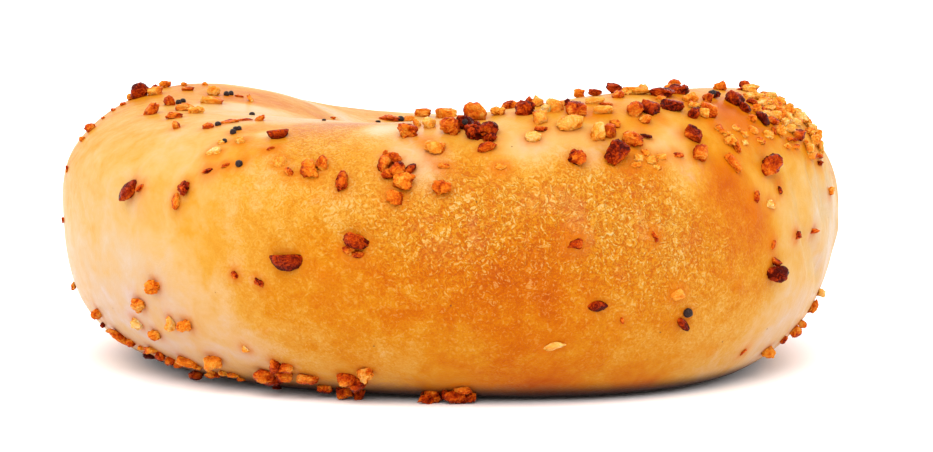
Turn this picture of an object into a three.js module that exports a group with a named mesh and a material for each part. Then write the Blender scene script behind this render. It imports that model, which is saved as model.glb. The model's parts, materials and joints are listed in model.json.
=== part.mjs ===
// A hand-rolled bagel: one closed ring of bread that rests on the flat its baking tray left under it.
// Millimetres, +Z up. The origin is the middle of the ring's box, on the surface that it rests on.
// Angles are in degrees: "around" turns from +X towards +Y, seen from above, and "up" turns round the
// ring's section, from 0 at the outer wall over 90 at the crest to 180 at the hole and 270 underneath.
import * as THREE from "three";
import { mergeVertices } from "three/addons/utils/BufferGeometryUtils.js";

const DEGREE = Math.PI / 180;

// Driving dimensions. A hand-rolled ring is uneven, so each size has a mean and waves round the ring:
// a wave repeats `cycles` times a turn, adds `rise` millimetres at most, and peaks at `peak` degrees.
const OUTER_RADIUS = {
  mean: 56.75,
  waves: [
    { cycles: 1, rise: 1.17, peak: 161 },
    { cycles: 2, rise: 0.88, peak: 108 },
    { cycles: 3, rise: 0.28, peak: 104 },
    { cycles: 4, rise: 0.46, peak: 46 },
  ],
};
const HOLE_RADIUS = {
  mean: 10.8,
  waves: [
    { cycles: 2, rise: 0.9, peak: 20 },
    { cycles: 3, rise: 0.5, peak: 75 },
  ],
};
const CREST_HEIGHT = {
  mean: 36.3,
  waves: [
    { cycles: 1, rise: 2.77, peak: 269 },
    { cycles: 2, rise: 2.68, peak: 155 },
    { cycles: 4, rise: 0.32, peak: 78 },
    { cycles: 5, rise: 0.5, peak: 11 },
  ],
};
// The height at which the wall is widest.
const BELLY_HEIGHT = {
  mean: 21.6,
  waves: [
    { cycles: 1, rise: 3.24, peak: 232 },
    { cycles: 2, rise: 2.98, peak: 31 },
  ],
};

// Where the crest and the foot lie on the way from the hole to the outer wall.
const CREST_SHARE = 0.645;
const FOOT_SHARE = 0.51;
// How far the rounded dough would reach under the tray, which presses it flat instead.
const PRESSED_DEPTH = 0.9;

// Each quarter of the section is a quarter of a superellipse: 2 is an ellipse, and more is squarer.
const SQUARENESS = {
  outerTop: 2.1,
  innerTop: 2.0,
  innerFoot: 2.2,
  outerFoot: 2.32,
};

// Where the dough swells or dips by `rise`, fading out over `aroundSpread` and `upSpread`.
const SWELLS = [
  { around: 0, up: 8, aroundSpread: 10, upSpread: 16, rise: 1.0 },
  { around: 52, up: 80, aroundSpread: 16, upSpread: 30, rise: 1.2 },
  { around: 96, up: 20, aroundSpread: 12, upSpread: 40, rise: -1.1 },
  { around: 128, up: 60, aroundSpread: 15, upSpread: 26, rise: 0.8 },
  { around: 196, up: -32, aroundSpread: 18, upSpread: 20, rise: 1.6 },
  { around: 215, up: -60, aroundSpread: 16, upSpread: 20, rise: -0.4 },
  { around: 303, up: -64, aroundSpread: 18, upSpread: 22, rise: 1.5 },
  { around: 343, up: 38, aroundSpread: 14, upSpread: 24, rise: 1.1 },
];

// The seam where the two ends of the rolled rope overlap: a shallow groove, deepest where it crosses
// the place given by `around` and `up`. It leans round the ring as it climbs, and fades out at `reach`
// degrees either way along its run. Its half width and depth are in millimetres.
const SEAM = {
  around: 352,
  up: 40,
  lean: 0.12,
  reach: 38,
  halfWidth: 2.3,
  depth: 0.7,
};

const STEPS_AROUND = 104;
const STEPS_UP = 44;

function sizeAt(size, around) {
  return size.waves.reduce(
    (sum, { cycles, rise, peak }) =>
      sum + rise * Math.cos(cycles * (around - peak) * DEGREE),
    size.mean,
  );
}

// The signed turn from one angle to another, the short way round.
function turnBetween(from, to) {
  return ((((to - from) % 360) + 540) % 360) - 180;
}

function bell(distance, spread) {
  return Math.exp(-0.5 * (distance / spread) ** 2);
}

// A superellipse's cosine or sine: it keeps the sign and swells towards the corners.
function squared(value, squareness) {
  return Math.sign(value) * Math.abs(value) ** (2 / squareness);
}

// How far the dough swells out of the plain section at a place on the ring.
function swellAt(around, up) {
  return SWELLS.reduce(
    (sum, s) =>
      sum +
      s.rise *
        bell(turnBetween(s.around, around), s.aroundSpread) *
        bell(turnBetween(s.up, up), s.upSpread),
    0,
  );
}

// How deep the seam's groove is at a place on the ring, which lies at `radius` from the hole's axis.
function seamAt(around, up, radius) {
  const climb = turnBetween(SEAM.up, up);
  const aside = turnBetween(SEAM.around + SEAM.lean * climb, around);
  return (
    SEAM.depth *
    bell(climb, SEAM.reach) *
    bell(aside * DEGREE * radius, SEAM.halfWidth)
  );
}

// The point of the bagel's skin at a place on the ring.
function skinPoint(around, up) {
  const outer = sizeAt(OUTER_RADIUS, around);
  const hole = sizeAt(HOLE_RADIUS, around);
  const crest = sizeAt(CREST_HEIGHT, around);
  const belly = sizeAt(BELLY_HEIGHT, around);
  const across = Math.cos(up * DEGREE);
  const rise = Math.sin(up * DEGREE);
  const isTop = rise >= 0;
  const isOuter = across >= 0;
  const topSquareness = isOuter ? SQUARENESS.outerTop : SQUARENESS.innerTop;
  const footSquareness = isOuter ? SQUARENESS.outerFoot : SQUARENESS.innerFoot;
  const squareness = isTop ? topSquareness : footSquareness;
  const middle = hole + (outer - hole) * (isTop ? CREST_SHARE : FOOT_SHARE);
  const halfWidth = isOuter ? outer - middle : middle - hole;
  const halfHeight = isTop ? crest - belly : belly + PRESSED_DEPTH;
  const plainRadius = middle + halfWidth * squared(across, squareness);
  const plainHeight = belly + halfHeight * squared(rise, squareness);
  const relief = swellAt(around, up) - seamAt(around, up, plainRadius);
  const radius = plainRadius + relief * across;
  const height = plainHeight + relief * rise;
  return new THREE.Vector3(
    radius * Math.cos(around * DEGREE),
    radius * Math.sin(around * DEGREE),
    Math.max(height, 0),
  );
}

// The ring starts as a plain torus, whose every vertex is moved to its place on the bagel's skin.
function ringGeometry() {
  const ringRadius = (OUTER_RADIUS.mean + HOLE_RADIUS.mean) / 2;
  const tubeRadius = (OUTER_RADIUS.mean - HOLE_RADIUS.mean) / 2;
  const torus = new THREE.TorusGeometry(
    ringRadius,
    tubeRadius,
    STEPS_UP,
    STEPS_AROUND,
  );
  torus.deleteAttribute("normal");
  torus.deleteAttribute("uv");
  const ring = mergeVertices(torus);
  const position = ring.getAttribute("position");
  const vertex = new THREE.Vector3();
  for (let i = 0; i < position.count; i++) {
    vertex.fromBufferAttribute(position, i);
    const around = Math.atan2(vertex.y, vertex.x) / DEGREE;
    const fromTube = Math.hypot(vertex.x, vertex.y) - ringRadius;
    const up = Math.atan2(vertex.z, fromTube) / DEGREE;
    const skin = skinPoint(around, up);
    position.setXYZ(i, skin.x, skin.y, skin.z);
  }
  ring.computeBoundingBox();
  const middle = ring.boundingBox.getCenter(new THREE.Vector3());
  ring.translate(-middle.x, -middle.y, 0);
  ring.computeVertexNormals();
  return ring;
}

function crustMaterial() {
  return new THREE.MeshStandardMaterial({
    color: 0xe8a550,
    roughness: 0.45,
    metalness: 0,
  });
}

const bagel = new THREE.Group();
const bread = new THREE.Mesh(ringGeometry(), crustMaterial());
bread.name = "bagel";
bagel.add(bread);

export default bagel;
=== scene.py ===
"""A hand-rolled bagel topped with toasted onion, garlic and poppy seed, on a pale studio floor."""

from __future__ import annotations

import json
import logging
import math
from collections.abc import Sequence
from dataclasses import dataclass, field, replace
from enum import Enum

import bmesh
import bpy
import numpy as np
from mathutils import Matrix, Vector, noise
from mathutils.bvhtree import BVHTree
from mathutils.kdtree import KDTree

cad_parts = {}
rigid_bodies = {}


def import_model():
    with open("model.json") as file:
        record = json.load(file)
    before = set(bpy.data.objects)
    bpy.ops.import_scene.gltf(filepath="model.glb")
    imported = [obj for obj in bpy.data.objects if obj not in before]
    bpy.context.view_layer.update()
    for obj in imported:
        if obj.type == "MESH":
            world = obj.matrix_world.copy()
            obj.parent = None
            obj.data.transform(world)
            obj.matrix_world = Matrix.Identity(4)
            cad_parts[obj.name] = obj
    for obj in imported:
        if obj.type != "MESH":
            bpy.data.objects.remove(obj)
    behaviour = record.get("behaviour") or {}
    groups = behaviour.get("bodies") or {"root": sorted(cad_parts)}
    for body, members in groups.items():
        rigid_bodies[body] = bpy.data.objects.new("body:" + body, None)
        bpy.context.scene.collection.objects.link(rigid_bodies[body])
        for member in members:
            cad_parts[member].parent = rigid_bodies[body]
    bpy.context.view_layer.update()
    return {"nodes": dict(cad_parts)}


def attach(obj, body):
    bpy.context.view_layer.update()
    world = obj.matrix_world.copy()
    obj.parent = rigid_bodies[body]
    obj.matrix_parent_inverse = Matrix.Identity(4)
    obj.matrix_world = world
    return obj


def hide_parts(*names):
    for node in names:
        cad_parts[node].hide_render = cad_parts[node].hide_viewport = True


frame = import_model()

LOG = logging.getLogger("bagel")

MM = 0.001
BODY = "root"
NODE = "bagel"
SEED = 41

# The middle of the ring, which its hole turns about: the box is centred, and the hole isn't quite.
RING_MIDDLE = Vector((0.49, -0.16, 0.0)) * MM

Socket = bpy.types.NodeSocket
Piece = bpy.types.Object
Mesh = bpy.types.Mesh
Dice = np.random.Generator
Array = np.ndarray
Colour = tuple[float, float, float, float]


def srgb(red: float, green: float, blue: float) -> Colour:
    """Turns a screen colour into the linear colour that a shader takes.

    Args:
        red: Red, from 0 to 255.
        green: Green, from 0 to 255.
        blue: Blue, from 0 to 255.

    Returns:
        The linear colour, with an alpha of 1.
    """
    channels = (red / 255.0, green / 255.0, blue / 255.0)
    linear = [c / 12.92 if c <= 0.04045 else ((c + 0.055) / 1.055) ** 2.4 for c in channels]
    return (linear[0], linear[1], linear[2], 1.0)


WHITE: Colour = (1.0, 1.0, 1.0, 1.0)
STUDIO_DULLING: Colour = (0.49, 0.51, 0.57, 1.0)


class Slot(Enum):
    """The record's material slots."""

    CRUST = "crust"
    ONION = "toasted_onion"
    GARLIC = "garlic"
    POPPY = "poppy_seed"


class Trait(Enum):
    """The attributes that the meshes carry for their materials and their scatter trees."""

    TOAST = "toast"
    WRINKLE = "wrinkle"
    SHINE = "shine"
    STRETCH = "stretch"
    PUFF = "puff"
    RUN = "run"
    STAIN = "stain"
    SPRINKLE = "sprinkle"
    TONE = "tone"
    RIM = "rim"
    TURN = "turn"
    SIZE = "size"
    VARIANT = "variant"


# ---- Node trees ----


class Graph:
    """A node tree with short ways to add nodes and join them."""

    def __init__(self, tree: bpy.types.NodeTree) -> None:
        """Takes the tree that the nodes go into.

        Args:
            tree: A shader tree or a geometry tree.
        """
        self.tree = tree

    def feed(self, socket: Socket, value: object) -> None:
        """Links a socket to another socket, or sets its own value.

        Args:
            socket: The input.
            value: An output socket, or a plain value.
        """
        if isinstance(value, Socket):
            self.tree.links.new(value, socket)
        else:
            socket.default_value = value

    def node(
        self,
        kind: str,
        settings: dict[str, object] | None = None,
        inputs: dict[int | str, object] | None = None,
    ) -> bpy.types.Node:
        """Adds a node.

        Args:
            kind: The node's type name.
            settings: The node's own properties.
            inputs: Values or sockets for its inputs, by name or place.

        Returns:
            The node.
        """
        made = self.tree.nodes.new(kind)
        for name, value in (settings or {}).items():
            setattr(made, name, value)
        for name, value in (inputs or {}).items():
            self.feed(made.inputs[name], value)
        return made

    def math(self, operation: str, *values: object, clamp: bool = False) -> Socket:
        """Returns the socket of a sum on numbers, which is kept between 0 and 1 if it is clamped."""
        settings = {"operation": operation, "use_clamp": clamp}
        return self.node("ShaderNodeMath", settings, dict(enumerate(values))).outputs[0]

    def times(self, first: object, second: object, clamp: bool = False) -> Socket:
        """Returns the socket of the product of two numbers."""
        return self.math("MULTIPLY", first, second, clamp=clamp)

    def add(self, base: object, layer: object, strength: object) -> Socket:
        """Returns the socket of a number with another one, times a strength, added to it."""
        return self.math("MULTIPLY_ADD", layer, strength, base)

    def centred(self, level: object) -> Socket:
        """Returns the socket of a level about 0 to 1 as one that swings about 0."""
        return self.math("SUBTRACT", level, 0.5)

    def vector(self, operation: str, first: object, second: object) -> Socket:
        """Returns the socket of a sum on two vectors."""
        return self.node("ShaderNodeVectorMath", {"operation": operation}, {0: first, 1: second}).outputs[0]

    def scaled(self, vector: object, factor: object) -> Socket:
        """Returns the socket of a vector times a number."""
        inputs = {0: vector, "Scale": factor}
        return self.node("ShaderNodeVectorMath", {"operation": "SCALE"}, inputs).outputs[0]

    def part(self, vector: object, axis: str) -> Socket:
        """Returns the socket of a vector's X, Y or Z."""
        return self.node("ShaderNodeSeparateXYZ", inputs={0: vector}).outputs[axis]

    def noise(
        self,
        place: object,
        grain: float,
        detail: float = 2.0,
        roughness: float = 0.5,
        distortion: float = 0.0,
    ) -> Socket:
        """Adds smooth noise.

        Args:
            place: Where it is read, in millimetres.
            grain: The size of its spots, in millimetres.
            detail: How many finer layers it has.
            roughness: How strong the finer layers are.
            distortion: How far its spots are pulled about.

        Returns:
            The noise's socket, about 0 to 1.
        """
        inputs = {"Vector": place, "Scale": 1.0 / grain, "Detail": detail}
        inputs |= {"Roughness": roughness, "Distortion": distortion}
        return self.node("ShaderNodeTexNoise", {"noise_dimensions": "3D"}, inputs).outputs[0]

    def ridges(self, level: object, sharpness: float) -> Socket:
        """Returns the socket of winding lines, 1 where noise crosses its middle and thinner if sharper."""
        off_middle = self.math("ABSOLUTE", self.centred(level))
        return self.math("SUBTRACT", 1.0, self.times(off_middle, sharpness), clamp=True)

    def spread(self, value: object, low: float, high: float) -> Socket:
        """Stretches a number smoothly from a range to 0 and 1.

        Args:
            value: The number.
            low: What becomes 0.
            high: What becomes 1.

        Returns:
            The result's socket.
        """
        settings = {"interpolation_type": "SMOOTHSTEP", "clamp": True}
        inputs = {"Value": value, "From Min": low, "From Max": high}
        return self.node("ShaderNodeMapRange", settings, inputs).outputs[0]

    def mix(self, share: object, first: object, second: object, blend: str = "MIX") -> Socket:
        """Mixes two colours.

        Args:
            share: How much of the second one, from 0 to 1.
            first: The colour at a share of 0.
            second: The colour at a share of 1.
            blend: The Mix node's blend type.

        Returns:
            The mixed colour's socket.
        """
        made = self.node("ShaderNodeMix", {"data_type": "RGBA", "blend_type": blend, "clamp_factor": True})
        colours = [socket for socket in made.inputs if socket.type == "RGBA"]
        self.feed(made.inputs["Factor"], share)
        self.feed(colours[0], first)
        self.feed(colours[1], second)
        return next(socket for socket in made.outputs if socket.type == "RGBA")

    def ramp(self, level: object, stops: Sequence[tuple[float, Colour]]) -> Socket:
        """Turns a number into a colour.

        Args:
            level: The number, from 0 to 1.
            stops: Places and colours, from low to high.

        Returns:
            The colour's socket.
        """
        made = self.node("ShaderNodeValToRGB", inputs={0: level})
        elements = made.color_ramp.elements
        while len(elements) < len(stops):
            elements.new(0.5)
        for element, (place, colour) in zip(elements, stops):
            element.position = place
            element.color = colour
        return made.outputs[0]


class SurfaceGraph(Graph):
    """A material's node tree, with its shader already in place."""

    def __init__(self, name: str) -> None:
        """Makes the material.

        Args:
            name: The material's name.
        """
        self.material = bpy.data.materials.new(name)
        self.material.use_nodes = True
        super().__init__(self.material.node_tree)
        self.shader = self.tree.nodes["Principled BSDF"]

    def place(self) -> Socket:
        """Returns the socket of the place on the object, in millimetres."""
        return self.scaled(self.node("ShaderNodeTexCoord").outputs["Object"], 1.0 / MM)

    def trait(self, trait: Trait, output: str = "Fac") -> Socket:
        """Returns the socket of a number, or as "Vector" of a vector, that the mesh carries."""
        return self.node("ShaderNodeAttribute", {"attribute_name": trait.value}).outputs[output]

    def shade(self, inputs: dict[str, object]) -> None:
        """Sets inputs of the shader, by name."""
        for name, value in inputs.items():
            self.feed(self.shader.inputs[name], value)

    def paint(self, colour: object, dulling: object = STUDIO_DULLING) -> None:
        """Gives the shader its colour, dulled by as much as the studio's lights are brighter than 1."""
        self.shade({"Base Color": self.mix(1.0, colour, dulling, "MULTIPLY")})

    def bump(self, height: object, depth: float, below: object = None) -> Socket:
        """Adds a bump.

        Args:
            height: The relief, from 0 to 1.
            depth: How high 1 stands, in millimetres.
            below: The normal of a coarser bump, if there is one.

        Returns:
            The bumped normal's socket.
        """
        inputs = {"Strength": 1.0, "Distance": depth * MM, "Height": height}
        made = self.node("ShaderNodeBump", inputs=inputs)
        if below is not None:
            self.feed(made.inputs["Normal"], below)
        return made.outputs[0]


class GeometryGraph(Graph):
    """A Geometry Nodes tree, with named inputs and one geometry output."""

    SOCKETS = {
        float: "NodeSocketFloat",
        int: "NodeSocketInt",
        "object": "NodeSocketObject",
        "collection": "NodeSocketCollection",
        "material": "NodeSocketMaterial",
    }

    def __init__(self, name: str, inputs: dict[str, float | int | str]) -> None:
        """Makes the tree.

        Args:
            name: The tree's name.
            inputs: Each input's name, with its default, or with the kind of data it takes.
        """
        tree = bpy.data.node_groups.new(name, "GeometryNodeTree")
        super().__init__(tree)
        tree.interface.new_socket("Geometry", in_out="INPUT", socket_type="NodeSocketGeometry")
        for title, default in inputs.items():
            is_kind = isinstance(default, str)
            kind = self.SOCKETS[default if is_kind else type(default)]
            socket = tree.interface.new_socket(title, in_out="INPUT", socket_type=kind)
            if not is_kind:
                socket.default_value = default
        tree.interface.new_socket("Geometry", in_out="OUTPUT", socket_type="NodeSocketGeometry")
        self.source = self.node("NodeGroupInput")

    def given(self, title: str) -> Socket:
        """Returns the socket of a named input."""
        return self.source.outputs[title]

    def read(self, trait: Trait, kind: str = "FLOAT") -> Socket:
        """Returns the socket of an attribute on the geometry."""
        return self.node("GeometryNodeInputNamedAttribute", {"data_type": kind}, {0: trait.value}).outputs[0]

    def store(self, geometry: object, trait: Trait, value: object, kind: str = "FLOAT") -> Socket:
        """Stores an attribute on points.

        Args:
            geometry: The geometry's socket.
            trait: The attribute.
            value: Its value.
            kind: Its data type.

        Returns:
            The socket of the geometry that carries it.
        """
        settings = {"data_type": kind, "domain": "POINT"}
        inputs = {"Geometry": geometry, "Name": trait.value, "Value": value}
        return self.node("GeometryNodeStoreNamedAttribute", settings, inputs).outputs[0]

    def moved(self, geometry: object, by: dict[str, object]) -> Socket:
        """Returns the socket of a geometry whose points are moved, by an "Offset" or to a "Position"."""
        return self.node("GeometryNodeSetPosition", inputs={"Geometry": geometry, **by}).outputs[0]

    def chance(self, low: object, high: object, salt: int, kind: str = "FLOAT") -> Socket:
        """Adds a random value, which the tree's input named Seed settles.

        Args:
            low: The lowest value.
            high: The highest value.
            salt: What keeps it apart from the tree's other random values.
            kind: Its data type.

        Returns:
            The value's socket.
        """
        seed = self.math("ADD", self.given("Seed"), float(salt))
        made = self.node("FunctionNodeRandomValue", {"data_type": kind}, {"Seed": seed})
        ends = [socket for socket in made.inputs if socket.enabled and socket.name in ("Min", "Max")]
        self.feed(ends[0], low)
        self.feed(ends[1], high)
        return next(socket for socket in made.outputs if socket.enabled)

    def finish(self, geometry: object) -> None:
        """Ends the tree: makes instances real, gives them the material, and hands them out.

        Args:
            geometry: The last geometry's socket.
        """
        real = self.node("GeometryNodeRealizeInstances", inputs={"Geometry": geometry}).outputs[0]
        inputs = {"Geometry": real, "Material": self.given("Material")}
        dressed = self.node("GeometryNodeSetMaterial", inputs=inputs).outputs[0]
        self.node("NodeGroupOutput", inputs={"Geometry": dressed})

    def apply(self, host: Piece, values: dict[str, object]) -> Mesh:
        """Runs the tree on an object and takes its result as a plain mesh.

        Args:
            host: The object, which ends with no modifier on it.
            values: The tree's inputs, by name.

        Returns:
            The mesh.
        """
        modifier = host.modifiers.new(self.tree.name, "NODES")
        modifier.node_group = self.tree
        for item in self.tree.interface.items_tree:
            if item.item_type == "SOCKET" and item.in_out == "INPUT" and item.name in values:
                modifier[item.identifier] = values[item.name]
        graph = bpy.context.evaluated_depsgraph_get()
        evaluated = host.evaluated_get(graph)
        mesh = bpy.data.meshes.new_from_object(evaluated, preserve_all_data_layers=True, depsgraph=graph)
        host.modifiers.remove(modifier)
        return mesh


# ---- Meshes ----


def write_trait(mesh: Mesh, trait: Trait, values: Array) -> None:
    """Writes an attribute on a mesh's vertices, over any of the same name.

    Args:
        mesh: The mesh.
        trait: The attribute.
        values: A number or a vector for each vertex.
    """
    stored = mesh.attributes.get(trait.value)
    is_vector = values.ndim == 2
    if stored is None:
        kind = "FLOAT_VECTOR" if is_vector else "INT" if values.dtype.kind == "i" else "FLOAT"
        stored = mesh.attributes.new(trait.value, kind, "POINT")
    stored.data.foreach_set("vector" if is_vector else "value", np.ascontiguousarray(values).ravel())


def rows_of(vertices: bpy.types.bpy_prop_collection, name: str) -> Array:
    """Reads a vector of each vertex.

    Args:
        vertices: The mesh's vertices, or their normals.
        name: The vector's name on them.

    Returns:
        Rows of x, y and z.
    """
    flat = np.empty(len(vertices) * 3)
    vertices.foreach_get(name, flat)
    return flat.reshape(-1, 3)


def vertex_places(mesh: Mesh) -> Array:
    """Returns a mesh's vertices as rows of x, y and z, in metres."""
    return rows_of(mesh.vertices, "co")


def face_tree(mesh: Mesh) -> BVHTree:
    """Returns a search tree of a mesh's faces."""
    return BVHTree.FromPolygons(vertex_places(mesh).tolist(), [tuple(p.vertices) for p in mesh.polygons])


def bell(distance: Array) -> Array:
    """Returns a smooth hump: 1 at a distance of 0, and nearly nothing from 3 on."""
    return np.exp(-0.5 * distance**2)


def hump(places: Array, middle: Vector, reach: float) -> Array:
    """Returns a smooth hump over some places: 1 at its middle, and nearly nothing 3 reaches away."""
    return bell(np.linalg.norm(places - np.array(middle), axis=1) / reach)


def slow_noise(places: Array, size: float, shift: Vector = Vector()) -> Array:
    """Reads smooth noise at some places.

    Args:
        places: Rows of x, y and z.
        size: The size of its spots, in the places' unit.
        shift: What keeps it apart from other noise.

    Returns:
        A number for each place, about -1 to 1.
    """
    return np.array([noise.noise(Vector(place) / size + shift) for place in places])


def share_between(values: Array, start: float, end: float) -> Array:
    """Returns how far values are on their way from a start to an end, from 0 to 1."""
    return np.clip((values - start) / (end - start), 0.0, 1.0)


def add_object(name: str, mesh: Mesh) -> Piece:
    """Puts a mesh in the scene as an object at the origin.

    Args:
        name: The object's name.
        mesh: The mesh.

    Returns:
        The object.
    """
    made = bpy.data.objects.new(name, mesh)
    bpy.context.scene.collection.objects.link(made)
    return made


# ---- The camera ----


@dataclass(frozen=True)
class Sight:
    """What a pixel shows: a place, its surface's normal, its distance, and a pixel's size there."""

    place: Vector
    normal: Vector
    depth: float
    pixel: float


@dataclass(frozen=True)
class Viewpoint:
    """Where the camera stands, what it looks at, and how wide it sees."""

    image_width: int = 933
    image_height: int = 452
    focal_pixels: float = 2861.9
    sensor_width: float = 36.0
    distance: float = 420.0 * MM
    elevation: float = math.radians(6.0)
    aim: Vector = field(default_factory=lambda: Vector((2.18, -0.16, 18.62)) * MM)
    nearest: float = 0.01
    farthest: float = 20.0

    @property
    def forward(self) -> Vector:
        """The way that the camera looks."""
        return Vector((0.0, math.cos(self.elevation), -math.sin(self.elevation)))

    @property
    def right(self) -> Vector:
        """The image's way to the right."""
        return Vector((1.0, 0.0, 0.0))

    @property
    def up(self) -> Vector:
        """The image's way up."""
        return Vector((0.0, math.sin(self.elevation), math.cos(self.elevation)))

    @property
    def eye(self) -> Vector:
        """Where the camera stands."""
        return self.aim - self.forward * self.distance

    def ray(self, x: float, y: float) -> Vector:
        """Gives the direction that a pixel looks in.

        Args:
            x: Pixels from the image's left edge.
            y: Pixels from the image's top edge.

        Returns:
            The direction, of length 1.
        """
        across = (x - self.image_width / 2) / self.focal_pixels
        rise = (self.image_height / 2 - y) / self.focal_pixels
        return (self.forward + self.right * across + self.up * rise).normalized()

    def pixel_size(self, depth: float) -> float:
        """Returns how much one pixel covers, in metres, at a distance from the camera."""
        return depth / self.focal_pixels

    def sight(self, tree: BVHTree, x: float, y: float) -> Sight | None:
        """Finds what a pixel shows.

        Args:
            tree: The faces that may be seen.
            x: Pixels from the image's left edge.
            y: Pixels from the image's top edge.

        Returns:
            What it shows, or None if it shows none of the faces.
        """
        place, normal, _, depth = tree.ray_cast(self.eye, self.ray(x, y))
        return None if place is None else Sight(place, normal, depth, self.pixel_size(depth))

    def build(self) -> None:
        """Makes the scene's camera."""
        data = bpy.data.cameras.new("camera")
        data.sensor_width = self.sensor_width
        data.lens = self.focal_pixels * self.sensor_width / self.image_width
        data.clip_start = self.nearest
        data.clip_end = self.farthest
        camera = bpy.data.objects.new("camera", data)
        turn = Matrix((self.right, self.up, -self.forward)).transposed()
        camera.matrix_world = Matrix.Translation(self.eye) @ turn.to_4x4()
        bpy.context.scene.collection.objects.link(camera)
        bpy.context.scene.camera = camera


# ---- The crust ----


@dataclass(frozen=True)
class Spot:
    """A place on the crust, named by the pixel that shows it, and how the oven left it; its shine also
    paints a pale highlight.
    """

    x: float
    y: float
    toast: float
    wrinkle: float = 0.1
    # How glossy it is; it also paints a pale highlight on the colour.
    shine: float = 0.2
    reach: float = 32.0


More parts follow.
